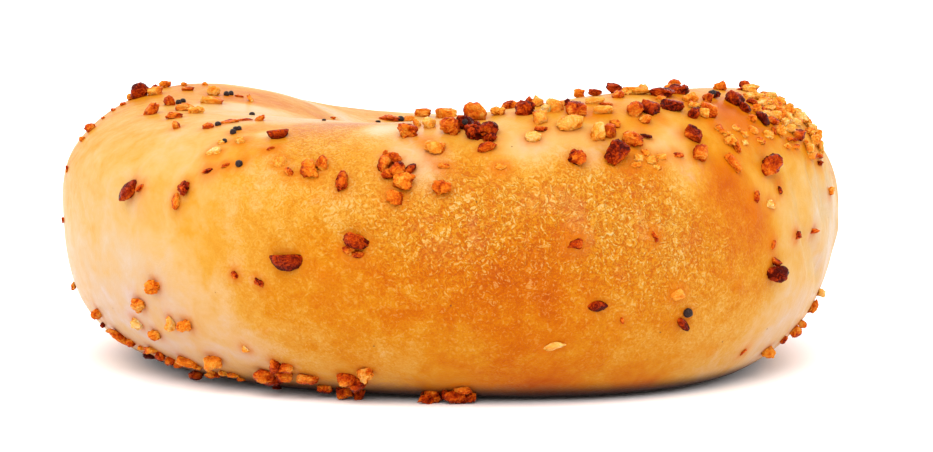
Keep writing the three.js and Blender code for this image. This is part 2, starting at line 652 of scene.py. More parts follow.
SPOTS: tuple[Spot, ...] = (
    # The left end, pale and smooth.
    Spot(x=78, y=190, toast=0.28),
    Spot(x=82, y=250, toast=0.2),
    Spot(x=95, y=140, toast=0.46),
    Spot(x=125, y=170, toast=0.34, wrinkle=0.15),
    Spot(x=125, y=225, toast=0.21),
    Spot(x=130, y=275, toast=0.12),
    Spot(x=125, y=320, toast=0.17),
    Spot(x=165, y=125, toast=0.4, wrinkle=0.2),
    Spot(x=180, y=155, toast=0.27, wrinkle=0.15),
    Spot(x=185, y=205, toast=0.45, wrinkle=0.25),
    Spot(x=180, y=255, toast=0.35, wrinkle=0.15),
    Spot(x=185, y=305, toast=0.23),
    Spot(x=190, y=345, toast=0.24),
    # The top of the left end and the rim behind it.
    Spot(x=150, y=95, toast=0.57),
    Spot(x=200, y=88, toast=0.63, reach=20),
    Spot(x=240, y=95, toast=0.66, reach=20),
    Spot(x=240, y=108, toast=0.3, wrinkle=0.2, shine=0.75, reach=16),
    Spot(x=200, y=135, toast=0.29, wrinkle=0.15, reach=22),
    Spot(x=300, y=105, toast=0.6, wrinkle=0.2, reach=20),
    Spot(x=360, y=111, toast=0.5, wrinkle=0.2, reach=18),
    # The middle's upper edge, with pale glazed patches that are partly painted highlights.
    Spot(x=245, y=140, toast=0.56, wrinkle=0.2, reach=22),
    Spot(x=290, y=120, toast=0.4, wrinkle=0.5, shine=0.7, reach=20),
    Spot(x=325, y=128, toast=0.62, wrinkle=0.60, shine=0.5, reach=20),
    Spot(x=310, y=148, toast=0.5, wrinkle=0.6, reach=20),
    Spot(x=372, y=140, toast=0.44, wrinkle=0.5, reach=20),
    Spot(x=405, y=148, toast=0.36, wrinkle=0.2, shine=1.0, reach=20),
    Spot(x=425, y=172, toast=0.15, wrinkle=0.3, shine=0.95, reach=17),
    Spot(x=500, y=145, toast=0.34, shine=0.5, reach=24),
    Spot(x=535, y=148, toast=0.14, shine=0.7, reach=24),
    Spot(x=600, y=148, toast=0.2, shine=0.7, reach=22),
    Spot(x=522, y=147, toast=0.02, shine=1.0, reach=9),
    Spot(x=592, y=160, toast=0.05, wrinkle=0.2, shine=1.0, reach=8),
    Spot(x=425, y=141, toast=0.75, wrinkle=0.3, reach=7),
    Spot(x=380, y=131, toast=0.05, wrinkle=0.2, shine=1.0, reach=10),
    Spot(x=250, y=128, toast=0.6, reach=8),
    Spot(x=263, y=135, toast=0.12, wrinkle=0.2, shine=0.8, reach=7),
    Spot(x=590, y=114, toast=0.9, reach=9),
    Spot(x=660, y=120, toast=0.75, reach=8),
    Spot(x=735, y=116, toast=1.0, reach=10),
    Spot(x=778, y=180, toast=0.75, shine=0.0, reach=8),
    Spot(x=480, y=170, toast=0.67, wrinkle=0.6, reach=22),
    Spot(x=540, y=172, toast=0.6, wrinkle=0.6, reach=22),
    Spot(x=520, y=118, toast=0.48, reach=24),
    Spot(x=600, y=115, toast=0.48, reach=24),
    # The middle's face, golden on the left and orange lower down.
    Spot(x=245, y=205, toast=0.38, wrinkle=0.45),
    Spot(x=300, y=205, toast=0.44, wrinkle=0.55),
    Spot(x=355, y=205, toast=0.46, wrinkle=0.65),
    Spot(x=250, y=250, toast=0.43, wrinkle=0.4),
    Spot(x=240, y=300, toast=0.48, wrinkle=0.45),
    Spot(x=245, y=340, toast=0.2, wrinkle=0.3),
    Spot(x=300, y=260, toast=0.62, wrinkle=0.5),
    Spot(x=300, y=305, toast=0.72, wrinkle=0.5),
    Spot(x=300, y=350, toast=0.45, wrinkle=0.42),
    Spot(x=360, y=290, toast=0.68, wrinkle=0.5),
    Spot(x=360, y=340, toast=0.54, wrinkle=0.48),
    Spot(x=410, y=235, toast=0.55, wrinkle=0.85),
    Spot(x=420, y=280, toast=0.68, wrinkle=0.6),
    Spot(x=430, y=325, toast=0.7, wrinkle=0.52),
    Spot(x=430, y=370, toast=0.46, wrinkle=0.35),
    Spot(x=470, y=205, toast=0.54, wrinkle=1.0),
    Spot(x=480, y=250, toast=0.62, wrinkle=0.9),
    Spot(x=490, y=300, toast=0.84, wrinkle=0.55),
    Spot(x=490, y=350, toast=0.74, wrinkle=0.48),
    Spot(x=535, y=205, toast=0.45, wrinkle=1.0),
    Spot(x=540, y=255, toast=0.9, wrinkle=0.7),
    Spot(x=540, y=310, toast=0.77, wrinkle=0.55),
    Spot(x=540, y=365, toast=0.73, wrinkle=0.42),
    Spot(x=595, y=190, toast=0.6, wrinkle=1.0),
    Spot(x=600, y=240, toast=0.49, wrinkle=1.0),
    Spot(x=600, y=285, toast=0.7, wrinkle=0.6),
    Spot(x=600, y=340, toast=0.58, wrinkle=0.48),
    Spot(x=640, y=170, toast=0.74, wrinkle=0.7, reach=24),
    Spot(x=650, y=225, toast=0.48, wrinkle=1.0),
    Spot(x=655, y=275, toast=0.6, wrinkle=0.8),
    Spot(x=660, y=325, toast=0.56, wrinkle=0.52),
    Spot(x=640, y=368, toast=0.56, wrinkle=0.4),
    # The right shoulder: the deepest orange, with a pale glazed patch above it that is partly a painted
    # highlight.
    Spot(x=690, y=178, toast=0.24, wrinkle=0.3, shine=1.0, reach=18),
    Spot(x=655, y=148, toast=0.14, wrinkle=0.2, shine=0.8, reach=16),
    Spot(x=672, y=130, toast=0.15, shine=0.8, reach=10),
    Spot(x=760, y=175, toast=0.46, wrinkle=0.2, shine=0.6, reach=9),
    Spot(x=804, y=172, toast=0.15, reach=10),
    Spot(x=748, y=122, toast=1.0, reach=12),
    Spot(x=715, y=120, toast=0.9, reach=10),
    Spot(x=715, y=195, toast=0.85, wrinkle=0.35, reach=24),
    Spot(x=745, y=225, toast=0.82, wrinkle=0.4, reach=24),
    Spot(x=700, y=235, toast=0.56, wrinkle=0.8),
    Spot(x=715, y=285, toast=0.56, wrinkle=0.6),
    Spot(x=745, y=150, toast=0.58, wrinkle=0.2, reach=24),
    Spot(x=700, y=125, toast=0.5, reach=24),
    Spot(x=655, y=125, toast=0.44, reach=22),
    Spot(x=760, y=110, toast=0.62, reach=22),
    Spot(x=768, y=188, toast=0.46, wrinkle=0.2, shine=0.6, reach=16),
    Spot(x=720, y=330, toast=0.46, wrinkle=0.45),
    Spot(x=705, y=365, toast=0.42, wrinkle=0.3),
    Spot(x=760, y=285, toast=0.58, wrinkle=0.45, reach=26),
    Spot(x=755, y=340, toast=0.36, wrinkle=0.25, reach=28),
    # The right end, pale again.
    Spot(x=795, y=155, toast=0.6, wrinkle=0.15, reach=22),
    Spot(x=805, y=125, toast=0.44, reach=18),
    Spot(x=795, y=200, toast=0.32, wrinkle=0.15, reach=24),
    Spot(x=822, y=200, toast=0.18, reach=22),
    Spot(x=832, y=230, toast=0.12, reach=22),
    Spot(x=795, y=255, toast=0.32, wrinkle=0.15, reach=24),
    Spot(x=818, y=265, toast=0.21, reach=22),
    Spot(x=790, y=305, toast=0.26, reach=24),
    Spot(x=775, y=335, toast=0.24, reach=22),
    # The foot, darker orange.
    Spot(x=260, y=378, toast=0.5, reach=20),
    Spot(x=350, y=383, toast=0.4, reach=20),
    Spot(x=450, y=388, toast=0.88, reach=20),
    Spot(x=550, y=386, toast=0.94, reach=20),
    Spot(x=640, y=383, toast=0.9, reach=20),
)


@dataclass(frozen=True)
class CrustFinish:
    """The baked skin: cream where it stayed pale, gold and orange where it browned, and softly glossy, with
    painted highlight and shade.
    """

    bloom: tuple[tuple[float, Colour], ...] = (
        (0.00, srgb(243, 217, 182)),
        (0.15, srgb(244, 203, 142)),
        (0.30, srgb(249, 193, 104)),
        (0.45, srgb(246, 174, 54)),
        (0.60, srgb(239, 149, 16)),
        (0.75, srgb(231, 122, 2)),
        (0.88, srgb(217, 98, 0)),
        (1.00, srgb(190, 70, 0)),
    )
    # Pale glaze, partly a painted highlight of the light above.
    glaze_and_painted_highlight: Colour = srgb(249, 216, 170)
    oil: Colour = srgb(240, 124, 10)
    # Browned underside, with painted warm bounce light.
    underside_and_painted_bounce: Colour = srgb(206, 126, 50)
    # A painted highlight on the fold ridges, and painted shade in the creases between them.
    ridge: Colour = srgb(255, 214, 136)
    painted_crease_shade: Colour = srgb(208, 98, 10)
    blush: Colour = srgb(250, 186, 116)
    # Painted contact shade along the foot.
    painted_contact_shade: Colour = srgb(56, 18, 4)
    pinprick: Colour = srgb(110, 66, 40)
    # Dulling for down-facing parts, lighter and bluer: a painted reflection of the white floor.
    downward_painted_reflection: Colour = (0.495, 0.53, 0.84, 1.0)
    # How strongly each colour is laid over the browned skin.
    glaze_and_highlight_share: float = 0.66
    oil_share: float = 0.8
    ridge_highlight_share: float = 0.62
    crease_shade_share: float = 0.58
    blush_share: float = 0.2
    pinprick_share: float = 0.75
    # How far each layer moves the skin along its browning ramp; the ridge and crease layers are painted
    # highlight and shade.
    cloud_browning: float = 0.50
    ridge_highlight_level: float = -0.24
    crease_shade_level: float = 0.16
    streak_browning: float = 0.40
    # The relief of the bumps, in millimetres.
    coarse_depth: float = 0.20
    crease_depth: float = 0.14
    fold_depth: float = 0.15
    grain_depth: float = 0.045

    def build(self) -> bpy.types.Material:
        """Makes the material.

        Returns:
            The material.
        """
        g = SurfaceGraph("crust")
        place = g.place()
        run = g.trait(Trait.RUN, "Vector")
        wrinkle = g.trait(Trait.WRINKLE)
        shine = g.trait(Trait.SHINE)
        stretch = g.trait(Trait.STRETCH)

        clouds = g.noise(place, 5.0, 3.0, 0.6, 0.5)
        mottle = g.noise(place, 1.5, 3.0, 0.6, 0.6)
        wide_folds = g.ridges(g.noise(place, 0.90, 1.0, 0.5, 1.2), 5.6)
        fine_folds = g.ridges(g.noise(place, 0.48, 0.0, 0.5, 0.9), 4.0)
        folds = g.add(g.add(0.44, fine_folds, 0.42), wide_folds, -0.56)
        rough_skin = g.spread(wrinkle, 0.18, 0.98)
        raised = g.times(g.spread(folds, 0.50, 0.92), rough_skin)
        sunken = g.times(g.spread(folds, 0.42, 0.08), rough_skin)

        level = g.add(g.trait(Trait.TOAST), g.centred(clouds), self.cloud_browning)
        level = g.add(level, g.centred(mottle), g.add(0.08, wrinkle, 0.32))
        # Paler on the fold ridges and deeper in the creases: painted highlight and shade.
        level = g.add(level, raised, self.ridge_highlight_level)
        level = g.add(level, sunken, self.crease_shade_level)
        streaks = g.times(g.centred(g.noise(run, 1.8, 2.0, 0.6, 0.4)), stretch)
        colour = g.ramp(g.add(level, streaks, self.streak_browning), self.bloom)

        leathery = g.times(g.spread(clouds, 0.50, 0.64), g.spread(wrinkle, 0.65, 1.0))
        patch = g.add(g.add(shine, mottle, 1.0), clouds, 0.8)
        # Laid over it: blush, a painted highlight on the ridges, painted shade in the creases, glaze with
        # its painted highlight, and oil.
        tints = (
            (leathery, self.blush_share, self.blush),
            (g.times(raised, wrinkle), self.ridge_highlight_share, self.ridge),
            (sunken, self.crease_shade_share, self.painted_crease_shade),
            (g.spread(patch, 1.42, 2.10), self.glaze_and_highlight_share, self.glaze_and_painted_highlight),
            (g.trait(Trait.STAIN), self.oil_share, self.oil),
        )
        for layer, share, tint in tints:
            colour = g.mix(g.times(layer, share, clamp=True), colour, tint)

        facing = g.part(g.node("ShaderNodeNewGeometry").outputs["Normal"], "Z")
        # Down-facing parts turn darker orange: browned underside, with painted warm bounce light.
        under = g.spread(g.add(g.times(facing, -1.0), mottle, -0.25), 0.60, 0.85)
        colour = g.mix(under, colour, self.underside_and_painted_bounce)
        pricks = g.node("ShaderNodeTexVoronoi", {"feature": "F1"}, {"Vector": place, "Scale": 0.24})
        dots = g.spread(pricks.outputs["Distance"], 0.045, 0.015)
        colour = g.mix(g.times(dots, self.pinprick_share), colour, self.pinprick)
        height = g.part(place, "Z")
        # A dark band low on the wall beside the floor: painted contact shade.
        contact_shade_band = g.times(g.spread(height, 3.25, 0.7), g.spread(height, 0.02, 0.12))
        colour = g.mix(contact_shade_band, colour, self.painted_contact_shade)
        # Down-facing parts are dulled less, most in blue: a painted reflection of the white floor.
        g.paint(colour, g.mix(g.spread(facing, 0.05, -0.55), STUDIO_DULLING, self.downward_painted_reflection))

        pulled = g.times(g.ridges(g.noise(run, 1.3, 2.0, 0.5, 0.3), 3.0), stretch)
        coarse = g.bump(g.times(g.noise(place, 2.2), rough_skin), self.coarse_depth)
        creased = g.bump(pulled, self.crease_depth, coarse)
        crinkled = g.bump(g.times(folds, rough_skin), self.fold_depth, creased)
        glossy = g.times(g.spread(shine, 0.15, 0.95), 0.30)
        g.shade(
            {
                "Roughness": g.add(g.add(0.28, mottle, 0.25), shine, -0.10),
                "IOR": 1.45,
                "Specular IOR Level": 0.05,
                "Specular Tint": g.mix(0.85, WHITE, colour),
                "Subsurface Weight": 0.06,
                "Subsurface Radius": (1.0, 0.4, 0.12),
                "Subsurface Scale": 1.2 * MM,
                "Coat Weight": g.add(glossy, wrinkle, 0.11),
                "Coat Roughness": 0.18,
                "Coat Normal": crinkled,
                "Normal": g.bump(g.noise(place, 0.26, 1.0, 0.6), self.grain_depth, crinkled),
            }
        )
        return g.material


@dataclass(frozen=True)
class Pixel:
    """A place on the crust, named by the pixel that shows it."""

    x: float
    y: float

    def toward(self, other: Pixel, share: float) -> Pixel:
        """Returns the pixel that lies a share of the way to another one."""
        return Pixel(x=self.x + (other.x - self.x) * share, y=self.y + (other.y - self.y) * share)


@dataclass(frozen=True)
class Fold:
    """A crease in the dough: the pixels it runs through, and its depth and half width in millimetres."""

    through: tuple[Pixel, ...]
    depth: float = 0.5
    wide: float = 0.9


FOLDS: tuple[Fold, ...] = (
    Fold(
        through=(Pixel(x=819, y=162), Pixel(x=822, y=176), Pixel(x=825, y=190), Pixel(x=829, y=202)),
        depth=0.9,
        wide=1.0,
    ),
    Fold(
        through=(Pixel(x=811, y=170), Pixel(x=816, y=184), Pixel(x=821, y=198), Pixel(x=825, y=212)),
        depth=0.7,
    ),
    Fold(through=(Pixel(x=797, y=188), Pixel(x=800, y=202), Pixel(x=802, y=216))),
    Fold(through=(Pixel(x=806, y=236), Pixel(x=809, y=250), Pixel(x=812, y=266)), depth=0.7),
    Fold(through=(Pixel(x=814, y=240), Pixel(x=818, y=258), Pixel(x=820, y=274)), depth=0.7),
)


@dataclass
class Crust:
    """The bread's skin, drawn over the plain ring that carries it."""

    carrier: Piece
    view: Viewpoint
    finish: CrustFinish = field(default_factory=CrustFinish)
    steps_around: int = 560
    steps_up: int = 176
    heart_radius: float = 34.0 * MM
    heart_height: float = 18.2 * MM
    # The waves per turn that the smoothing of the carrier's facets keeps.
    kept_around: float = 38.0
    kept_up: float = 22.0
    # Heights and sizes of the relief, in millimetres.
    lump: float = 0.34
    lump_size: float = 13.0
    dimple: float = 0.12
    dimple_size: float = 4.2
    crease: float = 0.22
    crease_size: float = 2.1
    # The radius that the creases are spread over, and how slowly they change on their way up.
    crease_circle: float = 56.0
    crease_climb: float = 3.2
    flat_below: float = 0.02 * MM
    foot_slope: float = 0.30
    foot_curl: float = 0.40 * MM
    # How much the slow patches count beside a named spot, which counts 1 at its middle.
    patch_weight: float = 0.02
    patch_size: float = 24.0 * MM
    cloud_size: float = 11.0 * MM
    crown_height: float = 36.0 * MM
    steps_along_fold: int = 9
    # How strongly oil soaks in round a granule, and how far in millimetres.
    soaks: tuple[tuple[float, float], ...] = ((0.75, 0.55), (0.24, 1.5))

    def grid_angles(self) -> tuple[Array, Array]:
        """Makes the grid that the skin is laid on.

        Returns:
            Its angles round the ring and up its section, in radians.
        """
        around = np.arange(self.steps_around) * (2 * math.pi / self.steps_around)
        up = np.arange(self.steps_up) * (2 * math.pi / self.steps_up) - math.pi / 2
        return np.meshgrid(around, up, indexing="ij")

    def reach_to_skin(self, around: Array, up: Array) -> Array:
        """Measures how far the carrier's skin lies from the heart of the ring's section.

        Args:
            around: Angles round the ring.
            up: Angles up the section.

        Returns:
            The distances, in metres, with the carrier's flat facets smoothed out.
        """
        tree = face_tree(self.carrier.data)
        reach = np.empty(around.shape)
        for i in range(around.shape[0]):
            out = Vector((math.cos(around[i, 0]), math.sin(around[i, 0]), 0.0))
            heart = RING_MIDDLE + out * self.heart_radius + Vector((0.0, 0.0, self.heart_height))
            for j in range(around.shape[1]):
                way = out * math.cos(up[i, j]) + Vector((0.0, 0.0, math.sin(up[i, j])))
                reach[i, j] = tree.ray_cast(heart, way)[3]
        waves = np.fft.fft2(reach)
        turns_around = np.fft.fftfreq(self.steps_around, 1 / self.steps_around)[:, None]
        turns_up = np.fft.fftfreq(self.steps_up, 1 / self.steps_up)[None, :]
        keep = np.exp(-((turns_around / self.kept_around) ** 4) - (turns_up / self.kept_up) ** 4)
        return np.real(np.fft.ifft2(waves * keep))

    def curled_foot(self, radius: Array, height: Array) -> Array:
        """Lets the skin curl gently down to the floor, which the plain ring meets at an edge.

        Args:
            radius: How far each place lies from the ring's axis.
            height: How high each place lies, with the flat foot at 0.

        Returns:
            The heights of the curled foot.
        """
        flat = height < self.flat_below
        outer = np.where(flat, radius, 0.0).max(axis=1, keepdims=True)
        inner = np.where(flat, radius, 1.0).min(axis=1, keepdims=True)
        inside = np.minimum(outer - radius, radius - inner)
        depth = np.where(flat, -self.foot_slope * inside, height)
        curled = self.foot_curl * np.logaddexp(0.0, depth / self.foot_curl)
        return curled - curled.min()

    def base_mesh(self) -> Mesh:
        """Makes the smooth ring.

        Returns:
            The mesh, with a UV map that runs round the ring and up its section.
        """
        around, up = self.grid_angles()
        reach = self.reach_to_skin(around, up)
        radius = self.heart_radius + reach * np.cos(up)
        x = RING_MIDDLE.x + radius * np.cos(around)
        y = RING_MIDDLE.y + radius * np.sin(around)
        z = self.curled_foot(radius, np.maximum(self.heart_height + reach * np.sin(up), 0.0))
        places = np.stack((x, y, z), axis=-1).reshape(-1, 3)

        i, j = np.meshgrid(np.arange(self.steps_around), np.arange(self.steps_up), indexing="ij")
        after_i = (i + 1) % self.steps_around
        after_j = (j + 1) % self.steps_up
        corners = (
            i * self.steps_up + j,
            after_i * self.steps_up + j,
            after_i * self.steps_up + after_j,
            i * self.steps_up + after_j,
        )
        faces = np.stack(corners, axis=-1).reshape(-1, 4)
        mesh = bpy.data.meshes.new("crust")
        mesh.from_pydata(places.tolist(), [], faces.tolist())
        mesh.polygons.foreach_set("use_smooth", np.ones(len(faces), dtype=bool))

        u = np.stack((i, i + 1, i + 1, i), axis=-1) / self.steps_around
        v = np.stack((j, j, j + 1, j + 1), axis=-1) / self.steps_up
        layer = mesh.uv_layers.new(name="ring")
        layer.data.foreach_set("uv", np.stack((u, v), axis=-1).reshape(-1))

        circle = self.crease_circle
        run = np.stack((np.cos(around) * circle, np.sin(around) * circle, up * self.crease_climb), axis=-1)
        write_trait(mesh, Trait.RUN, run.reshape(-1, 3))
        mesh.update()
        return mesh

    def spot_levels(self, mesh: Mesh) -> Array:
        """Spreads the named spots over the crust, and lets slow patches fill what they don't reach.

        Args:
            mesh: The smooth ring.

        Returns:
            Rows of how toasted, how wrinkled and how glazed each vertex is; the glaze also paints pale
            highlights.
        """
        places = vertex_places(mesh)
        tree = face_tree(mesh)
        patches = slow_noise(places, self.patch_size)
        clouds = slow_noise(places, self.cloud_size, Vector((9.0, 2.0, 5.0)))
        height = places[:, 2] / self.crown_height
        toast = np.clip(0.48 + 0.36 * patches - 0.12 * (height - 0.5), 0.10, 0.85)
        wrinkle = np.clip(0.8 * toast + 0.7 * clouds + 0.08, 0.1, 1.0)
        shine = np.clip(0.20 + 0.8 * clouds - 0.6 * patches, 0.0, 0.6)
        weight = np.full(len(places), self.patch_weight)
        levels = weight * np.stack((toast, wrinkle, shine))
        for spot in SPOTS:
            sight = self.view.sight(tree, spot.x, spot.y)
            if sight is None:
                LOG.warning("the spot at %d, %d misses the crust", spot.x, spot.y)
                continue
            near = hump(places, sight.place, spot.reach * sight.pixel)
            weight += near
            levels += near * np.array(((spot.toast,), (spot.wrinkle,), (spot.shine,)))
        return levels / weight

    def stretch_levels(self, mesh: Mesh) -> Array:
        """Says where the dough is pulled into creases that run over the ring.

        Args:
            mesh: The smooth ring.

        Returns:
            A number for each vertex: 1 at the right end's outer wall and in the hole.
        """
        places = vertex_places(mesh) - np.array(RING_MIDDLE)
        around = np.arctan2(places[:, 1], places[:, 0])
        radius = np.hypot(places[:, 0], places[:, 1]) / MM
        end = bell(around / 0.36) * share_between(radius, 40.0, 48.0)
        hole = share_between(radius, 22.0, 13.0)
        return np.clip(end + 0.8 * hole, 0.0, 1.0)

    def relief_tree(self) -> GeometryGraph:
        """Makes the tree that raises lumps, dimples and creases on the ring.

        Returns:
            The tree.
        """
        g = GeometryGraph(
            "crust_relief",
            {
                "Lump Height": 0.3,
                "Dimple Height": 0.1,
                "Crease Depth": 0.2,
                "Material": "material",
            },
        )
        place = g.scaled(g.node("GeometryNodeInputPosition").outputs[0], 1.0 / MM)
        lumps = g.centred(g.noise(place, self.lump_size, 1.0))
        dimples = g.centred(g.noise(place, self.dimple_size, 2.0, 0.5, 0.4))
        run = g.read(Trait.RUN, "FLOAT_VECTOR")
        creases = g.ridges(g.noise(run, self.crease_size, 1.0, 0.5, 0.2), 3.2)
        creases = g.times(creases, g.read(Trait.STRETCH))
        rise = g.times(lumps, g.given("Lump Height"))
        rise = g.add(rise, dimples, g.given("Dimple Height"))
        rise = g.math("SUBTRACT", rise, g.times(creases, g.given("Crease Depth")))
        rise = g.math("ADD", rise, g.read(Trait.PUFF))
        offset = g.scaled(g.node("GeometryNodeInputNormal").outputs[0], g.times(rise, MM))
        raised = g.moved(g.given("Geometry"), {"Offset": offset})
        floored = g.vector("MAXIMUM", g.node("GeometryNodeInputPosition").outputs[0], (-1.0, -1.0, 0.0))
        g.finish(g.moved(raised, {"Position": floored}))
        return g

    def puff_levels(self, mesh: Mesh) -> Array:
        """Raises the skin over the granules that are baked in under it, and lowers it into the folds.

        Args:
            mesh: The smooth ring.

        Returns:
            How far each vertex is raised, in millimetres.
        """
        places = vertex_places(mesh)
        tree = face_tree(mesh)
        raised = np.zeros(len(places))
        for bump in BURIED:
            sight = self.view.sight(tree, bump.x, bump.y)
            if sight is not None:
                raised += bump.rise * hump(places, sight.place, 0.42 * bump.wide * sight.pixel)
        for fold in FOLDS:
            raised -= fold.depth * bell(self.distance_to(fold, tree, places) / fold.wide)
        return raised

    def distance_to(self, fold: Fold, tree: BVHTree, places: Array) -> Array:
        """Measures how far each vertex lies from a fold.

        Args:
            fold: The fold.
            tree: The ring's faces.
            places: The vertices.

        Returns:
            The distances, in millimetres.
        """
        nearest = np.full(len(places), np.inf)
        for start, end in zip(fold.through, fold.through[1:]):
            for share in np.linspace(0.0, 1.0, self.steps_along_fold):
                pixel = start.toward(end, share)
                sight = self.view.sight(tree, pixel.x, pixel.y)
                if sight is not None:
                    away = np.linalg.norm(places - np.array(sight.place), axis=1)
                    nearest = np.minimum(nearest, away)
        return nearest / MM

    def build(self) -> Piece:
        """Makes the crust.

        Returns:
            The crust's object, which isn't yet stained by its toppings.
        """
        mesh = self.base_mesh()
        for trait, values in zip((Trait.TOAST, Trait.WRINKLE, Trait.SHINE), self.spot_levels(mesh)):
            write_trait(mesh, trait, values)
        write_trait(mesh, Trait.STRETCH, self.stretch_levels(mesh))
        write_trait(mesh, Trait.PUFF, self.puff_levels(mesh))
        crust = add_object("crust", mesh)
        relieved = self.relief_tree().apply(
            crust,
            {
                "Lump Height": self.lump,
                "Dimple Height": self.dimple,
                "Crease Depth": self.crease,
                "Material": self.finish.build(),
            },
        )
        crust.data = relieved
        relieved.name = "crust"
        bpy.data.meshes.remove(mesh)
        LOG.info("crust: %d faces", len(relieved.polygons))
        return crust

    def stain(self, crust: Piece, toppings: list[Piece]) -> None:
        """Lets the toppings' oil soak into the skin round them.

        Args:
            crust: The crust.
            toppings: The pieces that lie on it.
        """
        points = np.concatenate([vertex_places(topping.data)[::3] for topping in toppings])
        nearest = KDTree(len(points))
        for index, point in enumerate(points):
            nearest.insert(point, index)
        nearest.balance()
        places = vertex_places(crust.data)
        away = np.array([nearest.find(place)[2] for place in places]) / MM
        soaked = sum(strength * np.exp(-((away / reach) ** 2)) for strength, reach in self.soaks)
        tree = face_tree(crust.data)
        for bump in BURIED:
            sight = self.view.sight(tree, bump.x, bump.y)
            if sight is not None:
                soaked += bump.oil * hump(places, sight.place, 0.5 * bump.wide * sight.pixel)
        write_trait(crust.data, Trait.STAIN, np.clip(soaked, 0.0, 1.0))


# ---- The toppings ----


@dataclass(frozen=True)
class Buried:
    """A granule baked in under the skin, named by the pixel that shows it: a low bump with an oily halo."""

    x: float
    y: float
    wide: float
    rise: float = 0.28
    oil: float = 0.5


BURIED: tuple[Buried, ...] = (
    Buried(x=830, y=175, wide=24, rise=-0.9, oil=0.0),
    Buried(x=836, y=226, wide=34, rise=0.5, oil=0.0),
    Buried(x=214, y=153, wide=18, rise=0.5, oil=0.1),
    Buried(x=252, y=152, wide=14, rise=0.4, oil=0.1),
    Buried(x=240, y=140, wide=12, oil=0.4),
    Buried(x=208, y=171, wide=15, oil=0.8),
    Buried(x=226, y=165, wide=11, oil=0.7),
    Buried(x=247, y=159, wide=10),
    Buried(x=263, y=152, wide=9, oil=0.6),
    Buried(x=278, y=147, wide=12, oil=0.8),
    Buried(x=140, y=188, wide=11),
    Buried(x=140, y=208, wide=14, oil=0.2),
    Buried(x=316, y=199, wide=9, oil=0.4),
    Buried(x=444, y=166, wide=12, oil=0.8),
    Buried(x=501, y=167, wide=15),
    Buried(x=323, y=277, wide=14),
    Buried(x=235, y=275, wide=8, oil=0.7),
    Buried(x=265, y=332, wide=9, oil=0.4),
    Buried(x=352, y=258, wide=16),
    Buried(x=575, y=243, wide=20, rise=0.5, oil=0.9),
    Buried(x=655, y=237, wide=13, oil=0.7),
    Buried(x=677, y=295, wide=16, rise=0.4, oil=0.15),
    Buried(x=739, y=285, wide=9, oil=0.6),
    Buried(x=730, y=275, wide=10),
    Buried(x=773, y=243, wide=11, oil=0.6),
    Buried(x=755, y=198, wide=12, oil=0.8),
    Buried(x=756, y=216, wide=11, oil=0.6),
    Buried(x=796, y=235, wide=10, oil=0.9),
    Buried(x=796, y=147, wide=10, oil=0.8),
    Buried(x=721, y=130, wide=14, oil=0.6),
    Buried(x=733, y=163, wide=18),
    Buried(x=678, y=155, wide=12, oil=0.3),
    Buried(x=638, y=158, wide=11),
    Buried(x=723, y=168, wide=10, oil=0.3),
    Buried(x=712, y=352, wide=8, oil=0.4),
    Buried(x=492, y=201, wide=6, oil=0.9),
    Buried(x=521, y=216, wide=18, rise=0.2, oil=0.2),
    Buried(x=590, y=114, wide=16, rise=0.0, oil=0.8),
    Buried(x=735, y=116, wide=20, rise=0.1, oil=0.9),
    Buried(x=713, y=121, wide=16, rise=0.1, oil=0.7),
    Buried(x=640, y=126, wide=14, rise=0.1, oil=0.6),
    Buried(x=778, y=180, wide=12, rise=0.1, oil=0.7),
    Buried(x=425, y=141, wide=16, rise=0.1, oil=0.6),
    Buried(x=745, y=130, wide=18, rise=0.0, oil=0.4),
    Buried(x=588, y=160, wide=12, rise=0.0),
    Buried(x=628, y=160, wide=18, rise=0.0, oil=0.6),
    Buried(x=762, y=146, wide=20, rise=0.0, oil=0.4),
    Buried(x=668, y=98, wide=24, rise=0.0),
    Buried(x=705, y=106, wide=22, rise=0.0, oil=0.4),
    Buried(x=661, y=120, wide=14, rise=0.0, oil=0.7),
    Buried(x=680, y=135, wide=12, rise=0.0, oil=0.6),
    Buried(x=320, y=131, wide=16, rise=0.0),
    Buried(x=430, y=160, wide=12, rise=0.0, oil=0.6),
)


class Form(Enum):
    """The shapes of granule: a chopped chunk, a splinter, a half lens, an almond and a round seed."""

    CHUNK = "chunk"
    SPLINTER = "splinter"
    LENS = "lens"
    ALMOND = "almond"
    BEAD = "bead"


@dataclass(frozen=True)
class Seen:
    """A granule on the side that faces the camera, named by the pixel at its middle.

    Its width and height are in pixels, its lean in degrees anticlockwise, and its tone runs from 0,
    pale gold, to 1, nearly black. The lift is how far its middle stands off the crust, as a share of
    its thickness.
    """

    x: float
    y: float
    wide: float
    tall: float
    tone: float
    lean: float = 0.0
    lift: float = 0.25
    form: Form = Form.CHUNK


